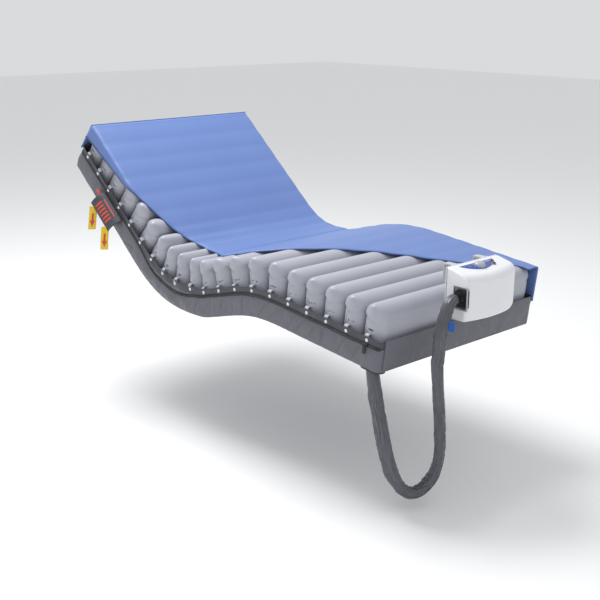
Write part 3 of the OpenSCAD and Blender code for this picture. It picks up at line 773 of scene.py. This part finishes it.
def cell_piece(i):
    rings = [cell_ring(i, y) for y in STATIONS]
    run = [0.0]
    for a, b in zip(OUTLINE, OUTLINE[1:] + OUTLINE[:1]):
        run.append(run[-1] + math.hypot(b[0] - a[0], b[1] - a[1]))
    cell = skin(f"air_cell_{i:02d}", [r[::-1] for r in rings], True,
                lambda k, j: (STATIONS[k], run[len(OUTLINE) - j if j <= len(OUTLINE) else 0]))
    return outward(cell)                                 # its ends close on themselves


cell_cloth = cloth("cell_cloth", (0.42, 0.43, 0.485), (0.36, 0.37, 0.425), 0.42, 0.0005, 0.0008,
                   crease_scale=18, coat=0.15, weave_depth=0.00004, spread=0.05)
for i in range(1, CELLS + 1):
    cell = finish_in(cell_piece(i), cell_cloth)
    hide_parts(f"cell_{i:02d}")
    if i <= 5:
        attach(cell, "back")
    elif i <= 10:
        follow(cell, "back")
    elif i == 11:
        follow(cell, "seat")
    elif i <= 16:
        follow(cell, "legs")
    else:
        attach(cell, "calf")

# Each cell's foot is held by a short tab of its own cloth, folded over the wall to its stud.


def cell_tab(i, side):
    s = cell_s(i)
    outer = wall_out(s, STUD_H, side) * (0.6 if side > 0 else 1.0)
    line = [(HALF_W + outer + 0.6 * MM, STUD_H - 11 * MM), (HALF_W + outer + 0.8 * MM, STUD_H),
            (HALF_W + outer + 2.2 * MM, WALL_H - 2 * MM), (HALF_W + 3 * MM, WALL_H + 6 * MM),
            (HALF_W - 4 * MM, WALL_H + 9 * MM), (CELL_HALF - 14 * MM, WALL_H + 5 * MM)]
    rows = [[at(s - (9 - 2 * k) * MM - 4 * MM, h, side * y) for k in range(10)] for y, h in line]
    rows = rows if side > 0 else [r[::-1] for r in rows]
    tab = skin("tab", rows, False, lambda k, j: (k * 9 * MM, j * 2 * MM))
    return finish_with(tab, "SOLIDIFY", thickness=1.2 * MM, offset=1)


for stretch, (first, last, _) in STUDS.items():
    tabs = [cell_tab(i, side) for i in range(first, last + 1) for side in (-1, 1)]
    held = finish_in(joined("cell_tabs_" + stretch, tabs), cell_cloth)
    follow(held, stretch)

# ---- Top cover --------------------------------------------------------------
# A blue sheet of polyurethane-coated stretch polyester, welded to a drop on the far
# side and the head. On the near side it is turned back so that the cells show, except
# by the head, where it hangs down over them.
COVER_H, COVER_T, SKIRT_H = 239 * MM, 2.2 * MM, 97 * MM
EDGE_CELL = [4.0, 5.0, 6, 7.3, 8.5, 9.8, 11, 12, 13, 14, 15, 16, 17, 18, 19, 20.1]
EDGE_IN = [0, 32, 70, 118, 152, 150, 120, 102, 112, 205, 345, 465, 545, 615, 700, 850]


def edge_in(s):
    """Distance of the turned-back edge from the near side."""
    c = s / PITCH + SEAT_CELL
    if c <= EDGE_CELL[0]:
        return 0.0
    for (a, b), (p, q) in zip(zip(EDGE_CELL, EDGE_CELL[1:]), zip(EDGE_IN, EDGE_IN[1:])):
        if c <= b:
            return (p + (q - p) * (c - a) / (b - a)) * MM
    return EDGE_IN[-1] * MM


def soft_edge_in(s):
    """The same edge with its corners eased by the cloth."""
    return sum(edge_in(s + k * 14 * MM) * w for k, w in ((-2, 1), (-1, 2), (0, 3), (1, 2), (2, 1))) / 9


def cover_height(s, y):
    """Height of the sheet, which dips a little between the cells and ripples over the bends."""
    between = 0.5 - 0.5 * math.cos(math.tau * (s / PITCH + SEAT_CELL - round(SEAT_CELL)))
    dip = 1.6 * MM * between ** 2
    ripple = 2.0 * MM * hip_slack(s) * math.sin(s * 62 + 2.4 * rough(y * 2.2, s * 2, 3))
    ripple *= 0.4 + rough(y * 1.6, 4, 1)
    return COVER_H + 2.2 * MM - dip + 0.7 * MM * rough(s * 5, y * 3, 9) + ripple


def drape(s):
    """How far the cover's near edge hangs down the side, most at the head."""
    return (5 + 60 * max(0, cell_s(4.4) - s) / (cell_s(4.4) - HEAD_S)) * MM


def cover_section(s):
    near = -HALF_W + soft_edge_in(s)
    hang = drape(s)
    points = [(near - 6 * MM * math.sin(math.pi / 2 * k / 6) * min(1, hang / (20 * MM)),
               cover_height(s, near) - 2.5 * MM - hang * k / 6) for k in range(6, 0, -1)]
    for k in range(64):
        y = near + (HALF_W - 8 * MM - near) * k / 63
        drop = 2.5 * MM * math.exp(-(y - near) / (7 * MM))
        points.append((y, cover_height(s, y) - drop))
    top = cover_height(s, HALF_W) + COVER_T / 2
    for k in range(1, 6):
        a = math.pi / 2 * k / 5
        points.append((HALF_W - 8 * MM + 14 * MM * math.sin(a), top - 14 * MM * (1 - math.cos(a))))
    for k in range(15, -1, -1):
        h = SKIRT_H - 6 * MM + (top - 10 * MM - SKIRT_H) * k / 15
        fall = (top - h) / (top - SKIRT_H)
        points.append((HALF_W + 6 * MM + fall * (1.5 * MM + 4 * MM * rough(s * 9, h * 3, 21)), h))
    return points[::-1]


cover_cloth = cloth("cover_cloth", (0.125, 0.205, 0.47), (0.108, 0.182, 0.43), 0.50, 0.0008, 0.0010,
                    crease_scale=6, weave_depth=0.00005, spread=0.05)
cover_edge_cloth = cloth("cover_edge_cloth", (0.018, 0.045, 0.16), (0.012, 0.03, 0.11), 0.55,
                         0.0009, 0.0006)
COVER_NODES = {"back": ("cover_back",), "seat": ("cover_seat", "cover_thigh"), "legs": ("cover_calf",)}


def cloth_area(rings):
    """Area of an open skin of points."""
    total = 0.0
    for a, b in zip(rings, rings[1:]):
        for p, q, r, t in zip(a, a[1:], b, b[1:]):
            total += (((q - p).cross(r - p)).length + ((t - q).cross(t - r)).length) / 2
    return total


for stretch, s0, s1 in STRETCHES:
    s1 = s1 if stretch != "legs" else FOOT_S - 2 * MM
    row = steps(s0, s1, 9 * MM)
    area = cloth_area([[at(s, h, y) for y, h in cover_section(s)] for s in row])
    cover = sweep("top_cover_" + stretch, s0, s1, 9 * MM, cover_section)
    finish_with(cover, "SOLIDIFY", thickness=COVER_T, offset=-1)
    finish_in(cover, cover_cloth)
    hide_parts(*COVER_NODES[stretch])
    follow(cover, stretch)

    def hem_section(s):
        near = -HALF_W + soft_edge_in(s)
        h = cover_height(s, near) - 2.5 * MM - drape(s)
        near -= 6 * MM * min(1, drape(s) / (20 * MM)) - 1 * MM
        ring = []
        for k in range(8):
            a = math.tau * k / 8
            ring.append((near - 1.0 * MM + 3.4 * MM * math.cos(a), h + 2.6 * MM * math.sin(a)))
        return ring[::-1]

    hem = sweep("cover_hem_" + stretch, s0, s1, 9 * MM, hem_section, closed=True, caps=True)
    finish_in(hem, cover_edge_cloth)
    follow(hem, stretch)

# The head drop closes the cover's end.
rows = []
for h in steps(SKIRT_H - 6 * MM, COVER_H + 1 * MM, 8 * MM):
    fall = (COVER_H - h) / (COVER_H - SKIRT_H)
    rows.append([at(HEAD_S - 3 * MM - fall * 3 * MM * (0.5 + rough(y * 7, h * 4, 31)), h, y)
                 for y in steps(-HALF_W, HALF_W + 6 * MM, 12 * MM)])
head_drop = skin("cover_head_drop", rows, False, lambda i, j: (j * 12 * MM, i * 8 * MM))
finish_with(head_drop, "SOLIDIFY", thickness=COVER_T, offset=-1)
finish_in(head_drop, cover_cloth)
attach(head_drop, "back")

# ---- Air lines --------------------------------------------------------------
# Two clear supply tubes lie on the tray's floor and feed the cells in turn.
LINE_Y, LINE_GAP, LINE_D, LINE_H = -HALF_W + 90 * MM, 22 * MM, 12 * MM, 13 * MM
VALVE_S = cell_s(3.7)
clear_tube = plastic("clear_tube", (0.78, 0.81, 0.85), (0.70, 0.74, 0.78), 0.15, coat=0.4)
clear_tube.node_tree.nodes["Principled BSDF"].inputs["Transmission Weight"].default_value = 0.35
for stretch, s0, s1 in STRETCHES:
    s0, s1 = max(s0, VALVE_S + 30 * MM), min(s1, FOOT_S - 127 * MM)
    tubes = []
    for y in (LINE_Y, LINE_Y + LINE_GAP):
        tubes.append(sweep("tube", s0, s1, 20 * MM, lambda s: [
            (y + LINE_D / 2 * math.cos(a), LINE_H + LINE_D / 2 * math.sin(a))
            for a in (k * math.tau / 14 for k in range(14))][::-1], closed=True, caps=True))
    lines = finish_in(joined("air_lines_" + stretch, tubes), clear_tube)
    if stretch == "back":
        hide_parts("air_line_a", "air_line_b")
    follow(lines, stretch)

# ---- Emergency deflation strap ----------------------------------------------
# A flap of the base's cloth comes out under the zip and hangs over the rail. Two
# yellow webbing tabs with red arrows hang from it, and pulling them opens the lines.
FLAP_L, FLAP_REACH, FLAP_FALL = 170 * MM, 52 * MM, 64 * MM
FLAP_TOP = ZIP_H - 9.5 * MM
TAB_L, TAB_W, TAB_OFF, TAB_TURN = 108 * MM, 34 * MM, 61 * MM, math.radians(50)


def flap_point(u, v, lift=0.0):
    """A point of the flap, u along it from -1 to 1 and v down it from 0 to 1."""
    s = VALVE_S + u * FLAP_L / 2
    out = FLAP_REACH * (math.sin(v * math.pi / 2) ** 0.9)
    fall = FLAP_FALL * v ** 1.5
    wave = 3 * MM * rough(u * 2.2, v * 1.7, 6) * v
    return at(s, FLAP_TOP - fall + wave + lift * 0.6, -HALF_W - 1 * MM - out - wave - lift)


rows = [[flap_point(u, v) for u in steps(-1, 1, 0.05)] for v in steps(0, 1, 0.05)]
flap = skin("deflation_flap", rows, False, lambda i, j: (j * 4 * MM, i * 4 * MM))
finish_with(flap, "SOLIDIFY", thickness=2.4 * MM, offset=0)
finish_in(flap, flap_cloth)
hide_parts("deflation_strap")
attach(flap, "deflation_pull")

red_print = cloth("red_print", (0.72, 0.07, 0.03), (0.60, 0.05, 0.025), 0.5, 0.0009, 0.0005)


def print_patch(name, u0, u1, v0, v1):
    rows = [[flap_point(u, v, 1.6 * MM) for u in steps(u0, u1, 0.04)] for v in steps(v0, v1, 0.04)]
    return skin(name, rows, False, lambda i, j: (j * 3 * MM, i * 3 * MM))


marks = [print_patch("mark", u, u + 0.10, 0.42, 0.86) for u in (-0.62, -0.40, -0.18, 0.04, 0.26, 0.48)]
marks += [print_patch("mark", -0.62, 0.58, 0.22, 0.28)]
flap_marks = finish_in(joined("deflation_flap_marks", marks), red_print)
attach(flap_marks, "deflation_pull")

middle = at(VALVE_S - FLAP_L / 2 - 16 * MM, FLAP_TOP - 22 * MM, -HALF_W - 20 * MM)
rows = [[middle + r * Vector((15 * MM * math.cos(a), -8 * MM * math.sin(a), 21 * MM * math.sin(a)))
         for a in (math.tau * k / 28 for k in range(28))] for r in (0.05, 0.35, 0.7, 0.95, 1.0)]
oval = skin("deflation_tag", rows, True, lambda i, j: (j * 3 * MM, i * 4 * MM))
finish_with(oval, "SOLIDIFY", thickness=1.6 * MM, offset=0)
finish_in(oval, red_print)
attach(oval, "back")

webbing = cloth("yellow_webbing", (0.83, 0.62, 0.05), (0.74, 0.52, 0.035), 0.7, 0.0016, 0.0008,
                weave_depth=0.0003)


def tab_grid(k, low, high, half, lift):
    """A hanging tab from its top to its foot, gently waved."""
    hang = flap_point(k * TAB_OFF / (FLAP_L / 2), 1.0)
    rows = []
    for t in steps(low, high, 0.05):
        z = hang.z + 4 * MM - t * TAB_L
        y = hang.y - 2.5 * MM - lift * math.cos(TAB_TURN) - 3 * MM * math.sin(t * 2.4 + k) * t
        width = half(t)
        lean = 0.16 * t * TAB_L - lift * math.sin(TAB_TURN)
        across = Vector((width * math.cos(TAB_TURN), width * math.sin(TAB_TURN), 0))
        rows.append([Vector((hang.x - lean, y, z)) + across * w for w in steps(-1, 1, 0.25)])
    return rows


ARROW_UP = 1.7 * MM                      # how far the print stands off the middle of the webbing
tabs, arrows = [], []
for k in (-1, 1):
    tab = skin("tab", tab_grid(k, 0, 1, lambda t: TAB_W / 2, 0), False,
               lambda i, j: (j * 4 * MM, i * 5 * MM))
    finish_with(tab, "SOLIDIFY", thickness=1.8 * MM, offset=0)
    tabs.append(tab)
    shaft = skin("arrow", tab_grid(k, 0.30, 0.62, lambda t: 4.5 * MM, ARROW_UP), False,
                 lambda i, j: (j * MM, i * MM))
    point = tab_grid(k, 0.62, 0.88, lambda t: 12 * MM * (0.88 - t) / 0.26, ARROW_UP)
    tip_shape = skin("arrow", point, False, lambda i, j: (j * MM, i * MM))
    arrows += [shaft, tip_shape]
pull_tabs = finish_in(joined("pull_tabs_webbing", tabs), webbing)
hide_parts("pull_tabs")
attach(pull_tabs, "deflation_pull")
tab_arrows = finish_in(joined("pull_tab_arrows", arrows), red_print)
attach(tab_arrows, "deflation_pull")

# ---- Pump -------------------------------------------------------------------
# A hook-on pump in a glossy white moulded shell: a flat back, a bowed front and a
# top that slopes to the user, with a rounded edge between. Its two halves meet in a
# fine groove near each side.
low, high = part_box("pump_front")
PUMP_X, PUMP_Y, PUMP_Z = low.x, (low.y + high.y) / 2, low.z
PUMP_W, PUMP_H, PUMP_D = high.y - low.y, high.z - low.z, high.x - low.x
LEDGE, TOP_SLOPE, FRONT_R, BASE_R, FRONT_BOW = 14 * MM, math.radians(15), 36 * MM, 12 * MM, 22 * MM


def top_z(x):
    return PUMP_H - max(0, x - LEDGE) * math.tan(TOP_SLOPE)


def pump_side(depth):
    """The pump's outline seen from its side, from the bottom of the back round to it."""
    cx = depth - FRONT_R
    cz = top_z(cx) - FRONT_R / math.cos(TOP_SLOPE)
    line = [(0, t * PUMP_H / 12) for t in range(12)]
    line += [(0.5 * MM, PUMP_H - 0.6 * MM), (2 * MM, PUMP_H)] + [(x * MM, PUMP_H) for x in (5, 9)]
    line += [(LEDGE + (cx - LEDGE) * t / 8, top_z(LEDGE + (cx - LEDGE) * t / 8)) for t in range(8)]
    for k in range(15):
        a = (math.pi / 2 - TOP_SLOPE) * (1 - k / 14)
        line.append((cx + FRONT_R * math.cos(a), cz + FRONT_R * math.sin(a)))
    line += [(depth, cz - (cz - BASE_R) * t / 8) for t in range(1, 8)]
    for k in range(7):
        a = -math.pi / 2 * k / 6
        line.append((depth - BASE_R + BASE_R * math.cos(a), BASE_R + BASE_R * math.sin(a)))
    line += [((depth - BASE_R) * (1 - t / 8), 0) for t in range(1, 8)]
    return line


def pump_ring(y, inset):
    """The outline at one place along the pump, drawn in by inset."""
    ring = []
    t = 2 * y / PUMP_W
    rise = 0.0
    if y > PUMP_W / 2 - 46 * MM:
        rise = 30 * MM * (1 - math.sqrt(max(0, 1 - ((y - PUMP_W / 2 + 46 * MM) / (46 * MM)) ** 2)))
    depth = PUMP_D - FRONT_BOW * t * t
    for x, z in pump_side(depth):
        z = rise + z * (1 - rise / PUMP_H)
        cx, cz = depth / 2, PUMP_H / 2
        x = cx + (x - cx) * (1 - inset / cx)
        z = cz + (z - cz) * (1 - inset / cz)
        ring.append(Vector((PUMP_X + x, PUMP_Y + y, PUMP_Z + z)))
    return ring


half = PUMP_W / 2
EDGE_R = 9 * MM
rows = [(-half + EDGE_R * (1 - math.cos(math.pi / 2 * k / 6)), EDGE_R * (1 - math.sin(math.pi / 2 * k / 6)))
        for k in range(7)]
rows += [(-half + run * MM, deep * MM) for run, deep in ((14, 0), (14.5, 1), (15.3, 1), (15.8, 0))]
rows += [(-half + 24 * MM + (PUMP_W - 48 * MM) * k / 16, 0) for k in range(17)]
rows += [(-y, inset) for y, inset in rows[:11][::-1]]
shell = skin("pump_shell", [pump_ring(y, inset) for y, inset in rows], True,
             lambda i, j: (rows[i][0], j * 8 * MM), caps=True)
outward(shell)

low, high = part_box("hose_connector")
recess_low = Vector((low.x - 3 * MM, PUMP_Y - half - 10 * MM, low.z - 8 * MM))
recess_high = Vector((low.x + 53 * MM, PUMP_Y - half + 34 * MM, low.z + 70 * MM))
cutter = rounded_box("cutter", recess_low, recess_high, 7 * MM, 4)
finish_with(shell, "BOOLEAN", object=cutter, operation="DIFFERENCE", solver="EXACT")
bpy.data.objects.remove(cutter)
only(shell)
bpy.ops.object.shade_smooth_by_angle(angle=math.radians(32))
shell_white = plastic("shell_white", (0.80, 0.81, 0.835), (0.76, 0.77, 0.80), 0.20, coat=0.5)
finish_in(shell, shell_white)
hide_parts("pump_front")
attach(shell, "seat")

# A grey frame lines the mouth of the hose's recess.
border = Vector((4.5, 0, 4.5)) * MM
frame_low = Vector((recess_low.x, PUMP_Y - half - 0.9 * MM, recess_low.z)) - border
frame_high = Vector((recess_high.x, PUMP_Y - half + 5 * MM, recess_high.z)) + border
recess_frame = rounded_box("recess_frame", frame_low, frame_high, 2.2 * MM, 3)
cutter = rounded_box("cutter", recess_low, recess_high, 7 * MM, 4)
finish_with(recess_frame, "BOOLEAN", object=cutter, operation="DIFFERENCE", solver="EXACT")
bpy.data.objects.remove(cutter)
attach(recess_frame, "seat")

# The control panel is a lens-shaped blue label under the knob and the two buttons.


def on_top(off, x, up=0.0):
    """A point on the sloping top, off to the side, x from the back and up off it."""
    return Vector((PUMP_X + x + up * math.sin(TOP_SLOPE), PUMP_Y + off,
                   PUMP_Z + top_z(x) + up * math.cos(TOP_SLOPE)))


PANEL_L, PANEL_DEEP, PANEL_OFF, PANEL_RUN = 190 * MM, 46 * MM, -5 * MM, 21 * MM
KNOB = (-13 * MM, 44 * MM)
BUTTONS = [("power", 58 * MM, 53 * MM), ("lock", 68 * MM, 36 * MM)]
tilt = Matrix.Rotation(TOP_SLOPE, 4, "Y")


def lens(inset, k, count):
    """Half the panel's outline, as depth for a place along it."""
    bow_r = (PANEL_L ** 2 / 4 + PANEL_DEEP ** 2) / (2 * PANEL_DEEP)
    y = -PANEL_L / 2 + inset * 2.2 + (PANEL_L - inset * 4.4) * k / count
    return y, PANEL_DEEP - inset - bow_r + math.sqrt(max(0, bow_r ** 2 - y * y))


def panel_slab(name, inset, height0, height1):
    """A lens-shaped plate on the pump's top, with its edge rounded over."""
    rings = []
    edge = ((0, height0), (0, height1 - 0.5 * MM), (0.2 * MM, height1 - 0.15 * MM), (0.6 * MM, height1))
    for shrink, up in edge:
        ring = []
        count = 40
        for k in range(count + 1):
            y, deep = lens(inset + shrink, k, count)
            ring.append((y, max(inset + shrink, deep)))
        for k in range(count - 1, 0, -1):
            y, _ = lens(inset + shrink, k, count)
            ring.append((y, inset + shrink))
        rings.append([on_top(PANEL_OFF + y, PANEL_RUN + d * math.cos(TOP_SLOPE), up) for y, d in ring])
    return outward(skin(name, rings, True, lambda i, j: (j * 5 * MM, i * MM), caps=True))


panel = panel_slab("control_panel", 0, 0.0, 1.4 * MM)
only(panel)
bpy.ops.object.shade_smooth_by_angle(angle=math.radians(35))
panel_blue = plastic("panel_blue", (0.028, 0.085, 0.36), (0.022, 0.07, 0.31), 0.28, coat=0.3)
finish_in(panel, panel_blue)
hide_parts("pump_panel")
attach(panel, "seat")

marks = []


def mark(off, run, length, width, angle=0.0):
    """A thin white printed line on the panel."""
    centre = on_top(off, run, 1.55 * MM)
    bpy.ops.object.select_all(action="DESELECT")
    bpy.ops.mesh.primitive_cube_add(size=1)
    bar = bpy.context.object
    shape = Matrix.Translation(centre) @ tilt @ Matrix.Rotation(angle, 4, "Z")
    bar.data.transform(shape @ Matrix.Diagonal((width, length, 0.3 * MM, 1)))
    marks.append(bar)


mark(30 * MM, 30 * MM, 58 * MM, 1.6 * MM)
for k in range(9):
    turn_k = math.radians(-120 + 30 * k)
    mark(KNOB[0] + 26 * MM * math.sin(turn_k), KNOB[1] - 25 * MM * math.cos(turn_k) * math.cos(TOP_SLOPE),
         0.9 * MM, 4 * MM, -turn_k)
for k in range(4):
    mark(-84 * MM + 9 * MM * k, 31 * MM + 2 * MM * k, 4 * MM, 1.2 * MM)
panel_marks = joined("control_panel_marks", marks)
white_print = plastic("white_print", (0.80, 0.82, 0.86), (0.75, 0.77, 0.82), 0.4)
finish_in(panel_marks, white_print)
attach(panel_marks, "seat")


def dome(name, off, run, radius_x, radius_y, height, base=1.5 * MM, power=0.62):
    """A smooth cap, turned from its middle to its skirt, set on the sloping top."""
    rings = []
    for k in range(15):
        a = math.pi / 2 * k / 14
        r, up = math.cos(a) ** power, math.sin(a)
        rings.append((r, base + 1.6 * MM + (height - 1.6 * MM) * up))
    rings = [(0.985, base), (1.0, base + 0.6 * MM)] + rings[:-1] + [(0.03, base + height)]
    centre = on_top(off, run)
    loops = []
    for r, up in rings:
        turns = [math.tau * j / 48 for j in range(48)]
        loops.append([centre + tilt @ Vector((radius_x * r * math.cos(a), radius_y * r * math.sin(a), up))
                      for a in turns])
    return outward(skin(name, loops, True, lambda i, j: (i * MM, j * MM), caps=True))


knob = dome("comfort_knob", *KNOB, 20 * MM, 22.5 * MM, 15 * MM, power=0.75)
pointer = rounded_box("pointer", (0, -1.1 * MM, 0), (9 * MM, 1.1 * MM, 1.4 * MM), 0.5 * MM)
pointer_place = Matrix.Translation(on_top(*KNOB, 15.2 * MM))
pointer.data.transform(pointer_place @ tilt @ Matrix.Rotation(math.radians(8), 4, "Y"))
knob = joined("comfort_knob", [knob, pointer])
only(knob)
bpy.ops.object.shade_smooth_by_angle(angle=math.radians(40))
knob_grey = plastic("knob_grey", (0.40, 0.43, 0.50), (0.36, 0.39, 0.46), 0.34, coat=0.15)
finish_in(knob, knob_grey)
finish_in(recess_frame, plastic("frame_grey", (0.40, 0.42, 0.46), (0.36, 0.38, 0.42), 0.38))
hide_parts("pump_knob")
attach(knob, "comfort_knob")

button_black = plastic("button_black", (0.016, 0.018, 0.026), (0.012, 0.013, 0.018), 0.22, coat=0.4)
collars = []
for label, off, run in BUTTONS:
    rings = []
    for grow, up in ((2.0, 1.2), (2.0, 3.2), (1.6, 3.6), (0.8, 3.6), (0.5, 3.3), (0.5, 1.2)):
        rings.append([on_top(off, run) + tilt @ (Vector(((5.4 + grow) * math.cos(math.tau * j / 40),
                      (8 + grow) * math.sin(math.tau * j / 40), up)) * MM) for j in range(40)])
    collars.append(skin("collar", rings, True, lambda i, j: (i * MM, j * MM)))
    button = dome(label + "_button_cap", off, run, 5.4 * MM, 8 * MM, 3.4 * MM, base=3.1 * MM, power=0.5)
    finish_in(button, button_black)
    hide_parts("pump_button_" + label)
    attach(button, label + "_button")
button_collars = finish_in(joined("button_collars", collars), knob_grey)
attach(button_collars, "seat")

# ---- Pieces whose turned and moulded shapes are already right ----------------
# The pump's back, hooks, fittings and works, and the small fittings of the mattress.
hook_grey = plastic("hook_grey", (0.50, 0.52, 0.55), (0.46, 0.48, 0.51), 0.42)
black_moulding = plastic("black_moulding", (0.02, 0.02, 0.023), (0.014, 0.014, 0.016), 0.4)
cast_metal = plastic("cast_aluminium", (0.62, 0.63, 0.65), (0.50, 0.51, 0.53), 0.35, grain=300,
                     depth=0.0002, metal=0.9)
board_green = plastic("board_green", (0.03, 0.20, 0.08), (0.02, 0.15, 0.06), 0.4)
soft_rubber = plastic("soft_rubber", (0.022, 0.022, 0.022), (0.016, 0.016, 0.016), 0.7)
ivory_plastic = plastic("ivory_plastic", (0.78, 0.78, 0.73), (0.72, 0.72, 0.67), 0.4)
red_plastic = plastic("red_plastic", (0.60, 0.05, 0.035), (0.50, 0.04, 0.03), 0.35, coat=0.2)
filter_grey = plastic("filter_grey", (0.50, 0.51, 0.53), (0.45, 0.46, 0.48), 0.6)
screw_steel = plastic("screw_steel", (0.56, 0.57, 0.59), (0.45, 0.46, 0.48), 0.3, grain=500, metal=0.95)
hem_cloth = plastic("hem_cloth", (0.05, 0.05, 0.058), (0.035, 0.035, 0.04), 0.7)
blue_label = cloth("blue_label", (0.01, 0.10, 0.42), (0.008, 0.08, 0.35), 0.55, 0.0009, 0.0004)
KEPT = {
    "pump_back": shell_white, "hook_near": hook_grey, "hook_far": hook_grey, "compressor": cast_metal,
    "rotary_valve": ivory_plastic, "circuit_board": board_green, "power_switch": black_moulding,
    "power_inlet": black_moulding, "rubber_mounts": soft_rubber, "filter_cover": filter_grey,
    "pump_screws": screw_steel, "hose_connector": black_moulding, "deflation_valve": ivory_plastic,
    "deflation_plugs": red_plastic, "hose_inlet": hem_cloth, "zip_slider": black_moulding,
}
for name, finish in KEPT.items():
    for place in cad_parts[name].material_slots:
        place.material = finish

finish_in(hose_tag, blue_label)
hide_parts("hose_tag")
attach(hose_tag, "seat")

# ---- Studio -----------------------------------------------------------------
# A plain pale floor where the bed's wheels would stand, and soft light.
bpy.ops.object.select_all(action="DESELECT")
bpy.ops.mesh.primitive_plane_add(size=40, location=(0, 0, -0.534))
floor = bpy.context.object
floor.name = "floor"
floor_white, tree, shader = nodes_for("floor_white")
shader.inputs["Base Color"].default_value = (0.90, 0.90, 0.90, 1)
shader.inputs["Roughness"].default_value = 0.7
finish_in(floor, floor_white)

world = bpy.data.worlds.new("studio")
world.use_nodes = True
world.node_tree.nodes["Background"].inputs["Color"].default_value = (0.97, 0.98, 1.0, 1)
world.node_tree.nodes["Background"].inputs["Strength"].default_value = 0.72
bpy.context.scene.world = world


def lamp(name, place, aim, size, power):
    data = bpy.data.lights.new(name, "AREA")
    data.shape = "SQUARE"
    data.size = size
    data.energy = power
    made = bpy.data.objects.new(name, data)
    bpy.context.scene.collection.objects.link(made)
    made.location = place
    made.rotation_euler = (Vector(aim) - Vector(place)).to_track_quat("-Z", "Y").to_euler()


lamp("key", (-1.3, -0.5, 4.0), (0.1, 0, 0.1), 2.0, 165)
lamp("fill", (3.4, -2.2, 2.0), (0.5, 0, 0.1), 2.4, 10)
